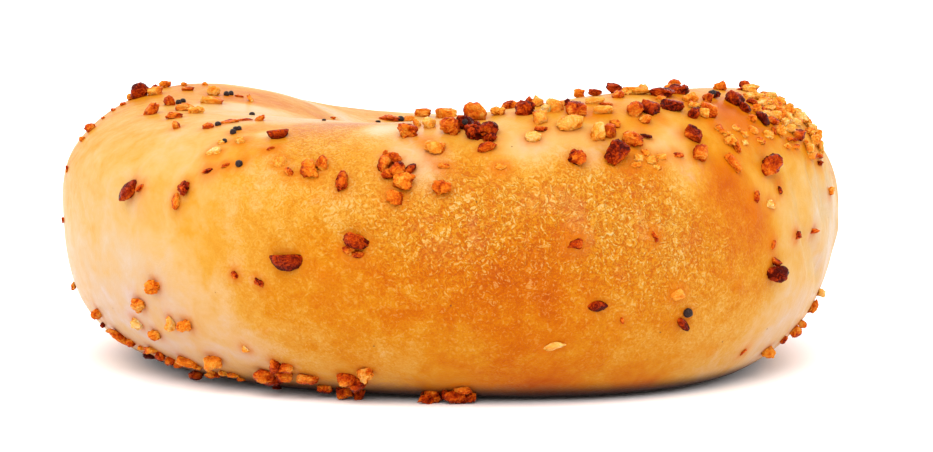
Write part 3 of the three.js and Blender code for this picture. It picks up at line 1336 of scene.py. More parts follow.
ONION_SEEN: tuple[Seen, ...] = (
    # The top of the left end.
    Seen(x=140, y=91, wide=19, tall=16, tone=0.86, lean=12),
    Seen(x=131, y=97, wide=8, tall=7, tone=0.55),
    Seen(x=156, y=85, wide=9, tall=6, tone=0.8),
    Seen(x=123, y=104, wide=7, tall=4, tone=0.75),
    Seen(x=113, y=110, wide=5, tall=4, tone=0.7),
    Seen(x=103, y=118, wide=4, tall=3, tone=0.6),
    Seen(x=90, y=128, wide=11, tall=9, tone=0.62, lean=25),
    Seen(x=82, y=139, wide=6, tall=5, tone=0.55),
    Seen(x=151, y=111, wide=19, tall=11, tone=0.5, lean=58),
    Seen(x=169, y=102, wide=12, tall=13, tone=0.62),
    Seen(x=185, y=108, wide=18, tall=9, tone=0.48, lean=10),
    Seen(x=174, y=116, wide=17, tall=8, tone=0.6),
    Seen(x=176, y=126, wide=8, tall=10, tone=0.5),
    Seen(x=188, y=89, wide=12, tall=5, tone=0.62),
    Seen(x=184, y=84, wide=6, tall=4, tone=0.5),
    Seen(x=239, y=96, wide=9, tall=3, tone=0.65),
    Seen(x=208, y=126, wide=11, tall=7, tone=0.6, lean=-10),
    Seen(x=228, y=122, wide=22, tall=5, tone=0.56, lean=12, lift=0.05),
    Seen(x=245, y=120, wide=15, tall=4, tone=0.6, lean=-4, lift=0.05),
    Seen(x=260, y=119, wide=11, tall=6, tone=0.54, lean=28),
    Seen(x=278, y=135, wide=21, tall=10, tone=0.78, lean=6, form=Form.LENS),
    Seen(x=270, y=149, wide=10, tall=4, tone=0.62, lean=20, lift=0.0),
    Seen(x=208, y=171, wide=13, tall=5, tone=0.66, lean=15, lift=-0.1),
    Seen(x=226, y=165, wide=11, tall=4, tone=0.62, lean=12, lift=-0.1),
    Seen(x=289, y=172, wide=11, tall=7, tone=0.56, lean=-50, lift=0.05),
    Seen(x=342, y=181, wide=21, tall=12, tone=0.74, lean=82),
    Seen(x=129, y=190, wide=27, tall=13, tone=0.8, lean=50, form=Form.ALMOND),
    Seen(x=140, y=188, wide=10, tall=5, tone=0.52, lean=30, lift=0.0),
    Seen(x=183, y=188, wide=15, tall=12, tone=0.72, lean=80),
    Seen(x=67, y=169, wide=3, tall=7, tone=0.55),
    Seen(x=63, y=220, wide=3, tall=6, tone=0.55),
    # The middle of the top.
    Seen(x=333, y=118, wide=6, tall=3, tone=0.68),
    Seen(x=389, y=118, wide=20, tall=7, tone=0.55),
    Seen(x=423, y=113, wide=16, tall=9, tone=0.54),
    Seen(x=407, y=131, wide=21, tall=16, tone=0.62, lean=-25),
    Seen(x=450, y=108, wide=9, tall=4, tone=0.72),
    Seen(x=450, y=128, wide=20, tall=20, tone=0.5),
    Seen(x=466, y=124, wide=22, tall=15, tone=1.00, lean=-25),
    Seen(x=476, y=132, wide=24, tall=19, tone=0.92, lean=-40),
    Seen(x=488, y=130, wide=20, tall=17, tone=0.8),
    Seen(x=490, y=138, wide=14, tall=10, tone=0.74, lean=20),
    Seen(x=487, y=147, wide=20, tall=10, tone=0.68, lean=12),
    Seen(x=475, y=112, wide=22, tall=19, tone=0.54),
    Seen(x=508, y=105, wide=13, tall=9, tone=0.62),
    Seen(x=525, y=109, wide=19, tall=17, tone=0.84),
    Seen(x=528, y=95, wide=11, tall=8, tone=0.76, lean=75),
    Seen(x=566, y=103, wide=8, tall=9, tone=0.74),
    Seen(x=576, y=109, wide=20, tall=16, tone=0.58),
    Seen(x=595, y=93, wide=14, tall=8, tone=0.66),
    Seen(x=614, y=87, wide=16, tall=11, tone=0.84),
    Seen(x=618, y=95, wide=12, tall=9, tone=0.54),
    Seen(x=606, y=104, wide=13, tall=4, tone=0.58),
    Seen(x=541, y=129, wide=13, tall=5, tone=0.7),
    Seen(x=577, y=157, wide=18, tall=16, tone=0.68),
    Seen(x=610, y=132, wide=12, tall=16, tone=0.5),
    Seen(x=635, y=110, wide=16, tall=17, tone=0.54),
    Seen(x=633, y=139, wide=21, tall=15, tone=0.62, lean=-10),
    Seen(x=617, y=153, wide=25, tall=20, tone=0.78, lean=62),
    Seen(x=384, y=165, wide=17, tall=13, tone=0.58, lean=70),
    Seen(x=393, y=158, wide=17, tall=12, tone=0.66, lean=-20),
    Seen(x=398, y=170, wide=16, tall=15, tone=0.62, lean=30),
    Seen(x=388, y=174, wide=14, tall=11, tone=0.68),
    Seen(x=385, y=155, wide=10, tall=6, tone=0.6, lean=80),
    Seen(x=410, y=169, wide=15, tall=8, tone=0.78, lean=38, form=Form.SPLINTER),
    Seen(x=444, y=166, wide=12, tall=6, tone=0.58, lift=-0.12),
    # The right of the top.
    Seen(x=633, y=87, wide=11, tall=4, tone=0.68),
    Seen(x=685, y=85, wide=7, tall=5, tone=0.7),
    Seen(x=674, y=78, wide=13, tall=11, tone=0.52),
    Seen(x=662, y=93, wide=25, tall=11, tone=0.78, lean=4),
    Seen(x=679, y=90, wide=20, tall=13, tone=0.82, lean=10),
    Seen(x=650, y=108, wide=20, tall=14, tone=0.84, lean=-12),
    Seen(x=645, y=119, wide=13, tall=9, tone=0.5),
    Seen(x=672, y=105, wide=23, tall=12, tone=0.84),
    Seen(x=714, y=95, wide=12, tall=9, tone=1.00, lean=-15),
    Seen(x=708, y=99, wide=11, tall=11, tone=0.66),
    Seen(x=694, y=114, wide=12, tall=13, tone=0.8),
    Seen(x=709, y=110, wide=17, tall=15, tone=0.54),
    Seen(x=735, y=99, wide=19, tall=15, tone=0.86, lean=-12),
    Seen(x=745, y=108, wide=13, tall=9, tone=0.9, lean=-30),
    Seen(x=752, y=102, wide=12, tall=6, tone=0.72, lean=-20),
    Seen(x=745, y=82, wide=11, tall=9, tone=0.62),
    Seen(x=740, y=89, wide=7, tall=4, tone=0.7),
    Seen(x=753, y=86, wide=8, tall=3, tone=0.6),
    Seen(x=768, y=91, wide=14, tall=4, tone=0.56),
    Seen(x=778, y=106, wide=9, tall=7, tone=0.55),
    Seen(x=793, y=103, wide=5, tall=5, tone=0.66),
    Seen(x=762, y=110, wide=6, tall=8, tone=0.66, lean=-50),
    Seen(x=763, y=118, wide=17, tall=10, tone=0.92, lean=-58),
    Seen(x=773, y=121, wide=12, tall=8, tone=0.55, lean=-25),
    Seen(x=774, y=131, wide=9, tall=4, tone=0.62, lean=-60),
    Seen(x=811, y=118, wide=4, tall=10, tone=0.56, lean=12),
    Seen(x=809, y=112, wide=4, tall=5, tone=0.78),
    Seen(x=808, y=124, wide=6, tall=4, tone=0.66),
    Seen(x=789, y=139, wide=9, tall=4, tone=0.66),
    Seen(x=812, y=154, wide=14, tall=4, tone=0.7, lean=-25),
    Seen(x=694, y=134, wide=19, tall=14, tone=0.66, lean=-32),
    Seen(x=700, y=153, wide=15, tall=17, tone=0.54),
    Seen(x=646, y=136, wide=13, tall=4, tone=0.86, lean=-10),
    Seen(x=771, y=165, wide=24, tall=19, tone=0.74, lean=62),
    Seen(x=799, y=135, wide=13, tall=12, tone=0.66),
    Seen(x=793, y=140, wide=10, tall=4, tone=0.62, lift=0.05),
    Seen(x=819, y=156, wide=8, tall=5, tone=0.66),
    Seen(x=820, y=163, wide=7, tall=5, tone=0.86),
    Seen(x=780, y=190, wide=8, tall=4, tone=0.82, lean=-65),
    Seen(x=755, y=197, wide=13, tall=9, tone=0.58, lean=85, lift=-0.12),
    Seen(x=797, y=235, wide=9, tall=9, tone=0.64, lift=-0.1),
    Seen(x=813, y=231, wide=14, tall=5, tone=0.52, lean=4, lift=0.05),
    Seen(x=678, y=155, wide=12, tall=5, tone=0.55, lift=-0.1),
    # The face.
    Seen(x=288, y=263, wide=35, tall=16, tone=0.83, lean=2, lift=0.05, form=Form.LENS),
    Seen(x=235, y=275, wide=8, tall=8, tone=0.72, lift=-0.1),
    Seen(x=259, y=282, wide=12, tall=8, tone=0.68, lean=-35, lift=0.0),
    Seen(x=356, y=241, wide=25, tall=15, tone=0.74, lean=-12),
    Seen(x=348, y=250, wide=14, tall=11, tone=0.56, lift=0.0),
    Seen(x=358, y=254, wide=12, tall=8, tone=0.58, lift=0.0),
    Seen(x=575, y=244, wide=15, tall=11, tone=0.78, lift=-0.12),
    Seen(x=597, y=306, wide=21, tall=11, tone=0.92, lift=0.0, form=Form.ALMOND),
    Seen(x=622, y=320, wide=8, tall=4, tone=0.62, lean=-60, lift=0.0),
    Seen(x=655, y=236, wide=12, tall=7, tone=0.62, lean=-70, lift=-0.15),
    Seen(x=683, y=324, wide=17, tall=8, tone=0.93, lean=-48, form=Form.SPLINTER),
    Seen(x=777, y=273, wide=21, tall=18, tone=0.84, lean=-25),
    Seen(x=776, y=262, wide=12, tall=7, tone=0.7, lean=-30),
    Seen(x=773, y=244, wide=11, tall=6, tone=0.58, lean=80, lift=-0.15),
    Seen(x=743, y=352, wide=9, tall=3, tone=0.66, lean=42, lift=0.0),
    # The lower edge.
    Seen(x=138, y=306, wide=15, tall=15, tone=0.34),
    Seen(x=73, y=286, wide=5, tall=9, tone=0.5),
    Seen(x=97, y=314, wide=12, tall=11, tone=0.44),
    Seen(x=103, y=325, wide=6, tall=6, tone=0.92),
    Seen(x=119, y=336, wide=24, tall=9, tone=0.42, lean=-38),
    Seen(x=131, y=343, wide=9, tall=8, tone=0.54),
    Seen(x=109, y=331, wide=7, tall=4, tone=0.54),
    Seen(x=150, y=356, wide=14, tall=6, tone=0.95),
    Seen(x=160, y=356, wide=10, tall=10, tone=0.68),
    Seen(x=171, y=361, wide=12, tall=9, tone=0.54),
    Seen(x=213, y=374, wide=16, tall=9, tone=0.56),
    Seen(x=196, y=375, wide=14, tall=10, tone=0.68),
    Seen(x=265, y=376, wide=22, tall=15, tone=0.58, lean=18),
    Seen(x=275, y=366, wide=15, tall=11, tone=0.62, lean=80),
    Seen(x=286, y=368, wide=14, tall=11, tone=0.56),
    Seen(x=284, y=376, wide=17, tall=13, tone=0.66),
    Seen(x=274, y=381, wide=20, tall=10, tone=0.72),
    Seen(x=277, y=387, wide=9, tall=5, tone=0.9),
    Seen(x=308, y=379, wide=22, tall=11, tone=0.52, lean=-6),
    Seen(x=325, y=389, wide=15, tall=9, tone=0.62),
    Seen(x=365, y=375, wide=17, tall=17, tone=0.44),
    Seen(x=347, y=379, wide=19, tall=14, tone=0.5, lean=10),
    Seen(x=345, y=392, wide=17, tall=14, tone=0.58),
    Seen(x=359, y=395, wide=13, tall=12, tone=0.76),
    Seen(x=358, y=384, wide=20, tall=13, tone=0.56, lean=30),
    Seen(x=430, y=396, wide=24, tall=15, tone=0.68),
    Seen(x=447, y=394, wide=12, tall=12, tone=0.76),
    Seen(x=458, y=397, wide=26, tall=14, tone=0.72),
    Seen(x=463, y=390, wide=18, tall=8, tone=0.58, lean=-4),
    Seen(x=470, y=396, wide=12, tall=12, tone=0.66),
    Seen(x=814, y=307, wide=16, tall=8, tone=0.48, lean=52),
    Seen(x=802, y=324, wide=9, tall=8, tone=0.52),
    Seen(x=796, y=332, wide=12, tall=10, tone=0.5, lean=40),
    Seen(x=784, y=340, wide=9, tall=6, tone=0.58, lean=30),
)

GARLIC_SEEN: tuple[Seen, ...] = (
    # The left end.
    Seen(x=165, y=85, wide=11, tall=8, tone=0.45),
    Seen(x=155, y=92, wide=14, tall=10, tone=0.5),
    Seen(x=196, y=112, wide=15, tall=11, tone=0.24, lift=0.1),
    Seen(x=214, y=92, wide=12, tall=11, tone=0.24),
    Seen(x=212, y=101, wide=20, tall=8, tone=0.5, lean=-4),
    Seen(x=205, y=84, wide=6, tall=4, tone=0.5),
    Seen(x=251, y=100, wide=11, tall=4, tone=0.5, lean=-62),
    Seen(x=214, y=153, wide=14, tall=11, tone=0.22, lift=-0.2),
    Seen(x=222, y=143, wide=8, tall=6, tone=0.45, lift=0.0),
    Seen(x=241, y=141, wide=11, tall=8, tone=0.4, lift=-0.1),
    Seen(x=280, y=162, wide=13, tall=11, tone=0.42, lift=0.0),
    Seen(x=309, y=168, wide=17, tall=17, tone=0.58),
    Seen(x=322, y=163, wide=11, tall=15, tone=0.66, lean=-10),
    Seen(x=176, y=201, wide=15, tall=8, tone=0.6, lean=68, lift=0.05),
    Seen(x=153, y=287, wide=16, tall=13, tone=0.46),
    Seen(x=138, y=323, wide=14, tall=13, tone=0.26, lift=0.0),
    Seen(x=170, y=324, wide=10, tall=14, tone=0.36),
    Seen(x=184, y=325, wide=14, tall=13, tone=0.42),
    Seen(x=155, y=335, wide=13, tall=11, tone=0.46),
    Seen(x=246, y=349, wide=8, tall=6, tone=0.24, lift=0.0),
    Seen(x=152, y=350, wide=16, tall=7, tone=0.6),
    Seen(x=187, y=362, wide=19, tall=9, tone=0.55, lean=-18),
    Seen(x=213, y=362, wide=17, tall=17, tone=0.58),
    Seen(x=233, y=375, wide=12, tall=5, tone=0.58),
    # The middle.
    Seen(x=409, y=119, wide=12, tall=6, tone=0.5),
    Seen(x=417, y=124, wide=7, tall=9, tone=0.45),
    Seen(x=429, y=124, wide=12, tall=13, tone=0.33),
    Seen(x=446, y=114, wide=19, tall=11, tone=0.48),
    Seen(x=498, y=112, wide=14, tall=10, tone=0.42),
    Seen(x=435, y=147, wide=19, tall=12, tone=0.5),
    Seen(x=442, y=188, wide=18, tall=14, tone=0.62),
    Seen(x=513, y=98, wide=10, tall=8, tone=0.58),
    Seen(x=538, y=102, wide=11, tall=12, tone=0.45),
    Seen(x=540, y=118, wide=13, tall=15, tone=0.46),
    Seen(x=547, y=109, wide=12, tall=8, tone=0.18),
    Seen(x=555, y=106, wide=17, tall=14, tone=0.45),
    Seen(x=579, y=93, wide=10, tall=9, tone=0.6),
    Seen(x=595, y=101, wide=17, tall=7, tone=0.32),
    Seen(x=603, y=110, wide=18, tall=8, tone=0.31),
    Seen(x=570, y=123, wide=25, tall=15, tone=0.52, lean=14),
    Seen(x=533, y=137, wide=15, tall=11, tone=0.38, lift=0.1),
    Seen(x=597, y=133, wide=15, tall=20, tone=0.32, lift=0.15),
    Seen(x=615, y=124, wide=10, tall=8, tone=0.58),
    Seen(x=404, y=181, wide=20, tall=16, tone=0.66),
    Seen(x=395, y=197, wide=16, tall=14, tone=0.7, lift=0.1),
    Seen(x=501, y=167, wide=13, tall=7, tone=0.5, lift=-0.15),
    # The right.
    Seen(x=636, y=91, wide=24, tall=8, tone=0.31),
    Seen(x=668, y=87, wide=8, tall=7, tone=0.5),
    Seen(x=661, y=99, wide=11, tall=7, tone=0.42),
    Seen(x=690, y=98, wide=15, tall=11, tone=0.45),
    Seen(x=720, y=86, wide=12, tall=10, tone=0.5),
    Seen(x=751, y=89, wide=15, tall=9, tone=0.42),
    Seen(x=769, y=96, wide=15, tall=7, tone=0.31),
    Seen(x=758, y=97, wide=12, tall=8, tone=0.36),
    Seen(x=766, y=102, wide=15, tall=9, tone=0.34),
    Seen(x=756, y=109, wide=10, tall=9, tone=0.46),
    Seen(x=769, y=109, wide=12, tall=7, tone=0.4),
    Seen(x=780, y=101, wide=11, tall=9, tone=0.44),
    Seen(x=787, y=107, wide=12, tall=8, tone=0.3),
    Seen(x=782, y=115, wide=6, tall=11, tone=0.54),
    Seen(x=788, y=117, wide=9, tall=10, tone=0.19),
    Seen(x=775, y=115, wide=11, tall=8, tone=0.29),
    Seen(x=795, y=112, wide=12, tall=8, tone=0.32),
    Seen(x=803, y=117, wide=11, tall=10, tone=0.25),
    Seen(x=797, y=122, wide=11, tall=7, tone=0.29),
    Seen(x=780, y=131, wide=11, tall=10, tone=0.32),
    Seen(x=789, y=128, wide=11, tall=7, tone=0.26),
    Seen(x=767, y=135, wide=12, tall=9, tone=0.44, lift=0.0),
    Seen(x=810, y=132, wide=9, tall=8, tone=0.44),
    Seen(x=815, y=141, wide=9, tall=13, tone=0.32, lean=-10),
    Seen(x=809, y=148, wide=9, tall=9, tone=0.36),
    Seen(x=821, y=150, wide=6, tall=9, tone=0.31),
    Seen(x=795, y=147, wide=9, tall=5, tone=0.62, lift=0.0),
    Seen(x=730, y=140, wide=12, tall=10, tone=0.36),
    Seen(x=736, y=146, wide=14, tall=8, tone=0.62, lean=-75),
    Seen(x=721, y=130, wide=14, tall=8, tone=0.55, lean=-35, lift=0.0),
    Seen(x=733, y=163, wide=20, tall=8, tone=0.62, lean=-55, lift=0.0),
    Seen(x=806, y=143, wide=5, tall=9, tone=0.5),
    Seen(x=769, y=204, wide=14, tall=8, tone=0.29, lift=-0.15),
    Seen(x=831, y=191, wide=7, tall=8, tone=0.4),
    Seen(x=651, y=160, wide=14, tall=9, tone=0.52, lift=-0.05),
    Seen(x=638, y=158, wide=10, tall=8, tone=0.42, lift=-0.05),
    Seen(x=677, y=295, wide=14, tall=10, tone=0.4, lean=15, lift=-0.25),
    Seen(x=821, y=293, wide=8, tall=8, tone=0.24),
    Seen(x=768, y=352, wide=13, tall=11, tone=0.4),
    Seen(x=554, y=346, wide=21, tall=7, tone=0.08, lean=16, lift=0.0, form=Form.SPLINTER),
    # Small crumbs between them, on the right shoulder.
    Seen(x=749, y=96, wide=10, tall=7, tone=0.35),
    Seen(x=773, y=98, wide=10, tall=7, tone=0.32),
    Seen(x=762, y=104, wide=12, tall=8, tone=0.32),
    Seen(x=774, y=104, wide=12, tall=9, tone=0.45),
    Seen(x=767, y=114, wide=12, tall=7, tone=0.29),
    Seen(x=779, y=110, wide=10, tall=8, tone=0.5),
    Seen(x=790, y=110, wide=10, tall=8, tone=0.45),
    Seen(x=798, y=117, wide=10, tall=8, tone=0.35),
    Seen(x=807, y=121, wide=10, tall=9, tone=0.35),
    Seen(x=812, y=128, wide=10, tall=9, tone=0.32),
    Seen(x=818, y=135, wide=8, tall=10, tone=0.31),
    Seen(x=819, y=145, wide=8, tall=10, tone=0.45),
    Seen(x=810, y=155, wide=12, tall=8, tone=0.4, lift=0.0),
    Seen(x=784, y=122, wide=9, tall=8, tone=0.28),
    Seen(x=752, y=130, wide=12, tall=8, tone=0.42, lift=0.0),
    Seen(x=743, y=134, wide=9, tall=7, tone=0.38, lift=0.0),
    Seen(x=760, y=141, wide=10, tall=7, tone=0.46, lift=0.0),
    Seen(x=735, y=128, wide=10, tall=7, tone=0.4, lift=0.0),
    Seen(x=726, y=135, wide=9, tall=6, tone=0.46, lift=0.0),
    Seen(x=744, y=143, wide=8, tall=6, tone=0.4, lift=0.0),
    Seen(x=752, y=119, wide=9, tall=8, tone=0.52, lift=0.1),
    Seen(x=786, y=146, wide=9, tall=5, tone=0.42, lift=0.0),
    # Small crumbs along the top.
    Seen(x=627, y=92, wide=12, tall=9, tone=0.38),
    Seen(x=642, y=89, wide=11, tall=9, tone=0.31),
    Seen(x=649, y=93, wide=8, tall=6, tone=0.33),
    Seen(x=694, y=105, wide=13, tall=8, tone=0.4),
    Seen(x=703, y=113, wide=11, tall=9, tone=0.48),
    Seen(x=645, y=153, wide=8, tall=7, tone=0.52, lift=0.0),
    Seen(x=636, y=165, wide=10, tall=6, tone=0.46, lift=0.0),
    Seen(x=661, y=157, wide=10, tall=6, tone=0.38, lift=0.0),
    Seen(x=657, y=167, wide=8, tall=6, tone=0.4, lift=0.0),
    # Small crumbs along the left end's foot.
    Seen(x=126, y=341, wide=9, tall=8, tone=0.52),
    Seen(x=142, y=348, wide=8, tall=4, tone=0.6),
    Seen(x=178, y=364, wide=9, tall=7, tone=0.62),
    Seen(x=195, y=366, wide=14, tall=6, tone=0.54, lean=-18),
    Seen(x=223, y=373, wide=9, tall=6, tone=0.56),
    Seen(x=241, y=379, wide=8, tall=4, tone=0.6),
)


def seed_at(x: float, y: float, wide: float, tall: float, lift: float = 0.25) -> Seen:
    """Returns a poppy seed on the side that faces the camera."""
    return Seen(x=x, y=y, wide=wide, tall=tall, tone=0.5, lift=lift, form=Form.BEAD)


POPPY_SEEN: tuple[Seen, ...] = (
    seed_at(x=178.5, y=102.5, wide=5.5, tall=5.5),
    seed_at(x=183, y=101, wide=5.5, tall=5),
    seed_at(x=226.5, y=94, wide=5.5, tall=5.5),
    seed_at(x=231, y=93.5, wide=5, tall=5.5),
    seed_at(x=252, y=114, wide=5.5, tall=4),
    seed_at(x=218, y=124, wide=6, tall=5),
    seed_at(x=233, y=132, wide=6, tall=6),
    seed_at(x=235.5, y=129, wide=5, tall=5),
    seed_at(x=239, y=128.5, wide=5, tall=5),
    seed_at(x=224.5, y=141, wide=5, tall=5),
    seed_at(x=239, y=163.5, wide=7, tall=6.5),
    seed_at(x=378, y=121.5, wide=5, tall=2.5),
    seed_at(x=324, y=120, wide=4, tall=2.5),
    seed_at(x=400.5, y=119, wide=7, tall=6),
    seed_at(x=465, y=122, wide=6, tall=6, lift=1.3),
    seed_at(x=713, y=93, wide=6, tall=6, lift=0.8),
    seed_at(x=688, y=313, wide=9, tall=9),
)


@dataclass(frozen=True)
class GranuleCutter:
    """Cuts granules: flat cuts chip a rounded block, then dents, cracks and crumbs roughen it."""

    form: Form
    points: int = 360
    boxiness: float = 4.0
    chips: int = 9
    crispness: float = 16.0
    dents: int = 3
    crumble: float = 0.10
    flat_top: float = 1.0
    darker_below: float = 0.0
    toasted_edge: float = 0.75
    knobs: int = 0
    nearest_cut: float = 0.58
    uncut_reach: float = 1.2
    crevice_width: float = 0.06
    crevice_depth: float = 0.10

    def ways(self) -> Array:
        """Spreads directions evenly over a ball.

        Returns:
            Rows of x, y and z, one for each point.
        """
        index = np.arange(self.points) + 0.5
        rise = 1.0 - 2.0 * index / self.points
        turn = index * math.pi * (1.0 + math.sqrt(5.0))
        ring = np.sqrt(1.0 - rise**2)
        return np.stack((ring * np.cos(turn), ring * np.sin(turn), rise), axis=-1)

    def knobbed(self, ways: Array, dice: Dice) -> tuple[Array, Array]:
        """Joins a few knobs into one lump.

        Args:
            ways: The directions.
            dice: Where its chances come from.

        Returns:
            How far the lump reaches each way, and how near each way runs to a crevice between knobs.
        """
        if not self.knobs:
            return np.full(self.points, self.uncut_reach), np.zeros(self.points)
        middles = dice.normal(size=(self.knobs, 3))
        middles *= (dice.uniform(0.28, 0.52, self.knobs) / np.linalg.norm(middles, axis=1))[:, None]
        radii = dice.uniform(0.60, 0.85, self.knobs)
        toward = ways @ middles.T
        spare = radii**2 - np.sum(middles**2, axis=1)
        reach = np.sort(toward + np.sqrt(toward**2 + spare), axis=1)
        crevice = np.exp(-(reach[:, -1] - reach[:, -2]) / self.crevice_width)
        return reach[:, -1] - self.crevice_depth * crevice, crevice

    def roughened(self, ways: Array, dice: Dice) -> tuple[Array, Array]:
        """Dents the surface, cracks it along its fibres and crumbles it.

        Args:
            ways: The directions.
            dice: Where its chances come from.

        Returns:
            How far the surface is sunken each way, and how toasted its outer edge is there.
        """
        sunken = np.zeros(self.points)
        for _ in range(self.dents):
            way = dice.normal(size=3)
            way /= np.linalg.norm(way)
            width = dice.uniform(0.05, 0.22)
            sunken += dice.uniform(0.12, 0.30) * np.exp(-(((1.0 - ways @ way) / width) ** 2))
        edge = self.toasted_edge * np.clip((0.55 - np.abs(ways[:, 2])) / 0.45, 0.0, 1.0)
        start = Vector(dice.uniform(-9.0, 9.0, 3))
        fibre = Vector(dice.uniform(1.2, 3.6, 3))
        for index, way in enumerate(ways):
            at = Vector(way)
            crack = 1.0 - min(abs(noise.noise(at * fibre + start)) * 5.0, 1.0)
            crumb = noise.fractal(at * 2.7 - start, 1.0, 2.0, 3)
            sunken[index] += self.crumble * (1.3 * crack * crack - 1.6 * crumb)
            edge[index] *= 0.7 + 1.2 * noise.noise(at * 1.4 - start)
        return sunken, edge

    def cut(self, name: str, dice: Dice) -> Piece:
        """Cuts one granule.

        Args:
            name: The granule's name.
            dice: Where its chances come from.

        Returns:
            An object outside the scene, one unit across each way, with painted shade where it is sunken.
        """
        ways = self.ways()
        block = np.sum(np.abs(ways) ** self.boxiness, axis=1) ** (1.0 / self.boxiness)
        planes = dice.normal(size=(self.chips, 3))
        planes /= np.linalg.norm(planes, axis=1, keepdims=True)
        depths = dice.uniform(self.nearest_cut, 1.0, self.chips)
        terms = np.maximum(ways @ planes.T, 0.0) / depths
        top = np.maximum(ways[:, 1], 0.0) / self.flat_top
        bulk, crevice = self.knobbed(ways, dice)
        terms = np.concatenate((terms, block[:, None], top[:, None], 1.0 / bulk[:, None]), axis=1)
        reach = np.sum(terms**self.crispness, axis=1) ** (-1.0 / self.crispness)
        facet_painted_shade = dice.uniform(-0.5, 0.5, terms.shape[1])[np.argmax(terms, axis=1)]
        sunken, edge = self.roughened(ways, dice)
        places = ways * (reach * (1.0 - sunken))[:, None]
        low, high = places.min(axis=0), places.max(axis=0)
        places = (places - (low + high) / 2) / (high - low)
        shape = bmesh.new()
        verts = [shape.verts.new(way) for way in ways]
        bmesh.ops.convex_hull(shape, input=verts)
        for vert, place in zip(verts, places):
            vert.co = place
        bmesh.ops.recalc_face_normals(shape, faces=shape.faces)
        mesh = bpy.data.meshes.new(name)
        shape.to_mesh(mesh)
        shape.free()
        mesh.polygons.foreach_set("use_smooth", np.ones(len(mesh.polygons), dtype=bool))
        side = dice.normal(size=3) - np.array((0.0, self.darker_below, 0.0))
        darker_side = ways @ (side / np.linalg.norm(side))
        # Darker in dents, cracks, crevices and on random facets: painted shade; also darker on one side and
        # at the toasted edge.
        rim = 2.0 * sunken + 0.5 * darker_side + edge + 0.6 * crevice + 0.8 * facet_painted_shade - 0.2
        write_trait(mesh, Trait.RIM, np.clip(rim, -1.0, 1.0))
        return bpy.data.objects.new(name, mesh)


@dataclass(frozen=True)
class GranuleFinish:
    """A dried flake: translucent and pale gold where it stayed raw, through amber, to nearly black."""

    name: str
    stops: tuple[tuple[float, Colour], ...]
    body: float = 0.42
    gloss: float = 0.26
    contrast: float = 0.36
    dulling: Colour = (0.56, 0.56, 0.56, 1.0)

    def build(self) -> bpy.types.Material:
        """Makes the material.

        Returns:
            The material.
        """
        g = SurfaceGraph(self.name)
        place = g.place()
        clouds = g.noise(place, 1.1, 2.0, 0.5, 0.5)
        layers = g.noise(g.vector("MULTIPLY", place, (1.0, 1.0, 2.5)), 0.5, 3.0, 0.6, 1.0)
        cracks = g.ridges(g.noise(place, 0.8, 2.0, 0.5, 1.0), 9.0)
        level = g.add(g.trait(Trait.TONE), g.centred(clouds), self.contrast)
        level = g.add(level, g.centred(layers), 0.36)
        # Painted shade in hollows and on facets, with the darker side and the toasted edge.
        level = g.add(level, g.trait(Trait.RIM), 0.28)
        # Darker along the cracks: painted shade.
        level = g.add(level, cracks, 0.16)
        colour = g.ramp(level, self.stops)
        g.paint(colour, self.dulling)
        rough = g.bump(g.add(layers, cracks, -0.6), 0.12)
        g.shade(
            {
                "Roughness": self.gloss,
                "IOR": 1.5,
                "Specular IOR Level": 0.15,
                "Specular Tint": g.mix(0.92, WHITE, colour),
                "Subsurface Weight": self.body,
                "Subsurface Radius": (1.0, 0.45, 0.15),
                "Subsurface Scale": 0.8 * MM,
                "Normal": g.bump(g.noise(place, 0.22), 0.05, rough),
            }
        )
        return g.material


@dataclass(frozen=True)
class SeedFinish:
    """A poppy seed: blue-black, dry, and pitted all over."""

    name: str = "poppy_seed"
    shell: Colour = srgb(24, 14, 14)
    ridge: Colour = srgb(70, 50, 48)
    gleam: Colour = (1.0, 0.8, 0.7, 1.0)

    def build(self) -> bpy.types.Material:
        """Makes the material.

        Returns:
            The material.
        """
        g = SurfaceGraph(self.name)
        feature = {"feature": "DISTANCE_TO_EDGE"}
        cells = g.node("ShaderNodeTexVoronoi", feature, {"Vector": g.place(), "Scale": 6.0})
        pits = g.spread(cells.outputs[0], 0.02, 0.2)
        g.paint(g.mix(pits, self.ridge, self.shell))
        g.shade(
            {
                "Roughness": 0.35,
                "Specular IOR Level": 0.22,
                "Specular Tint": self.gleam,
                "Normal": g.bump(g.math("SUBTRACT", 1.0, pits), 0.04),
            }
        )
        return g.material


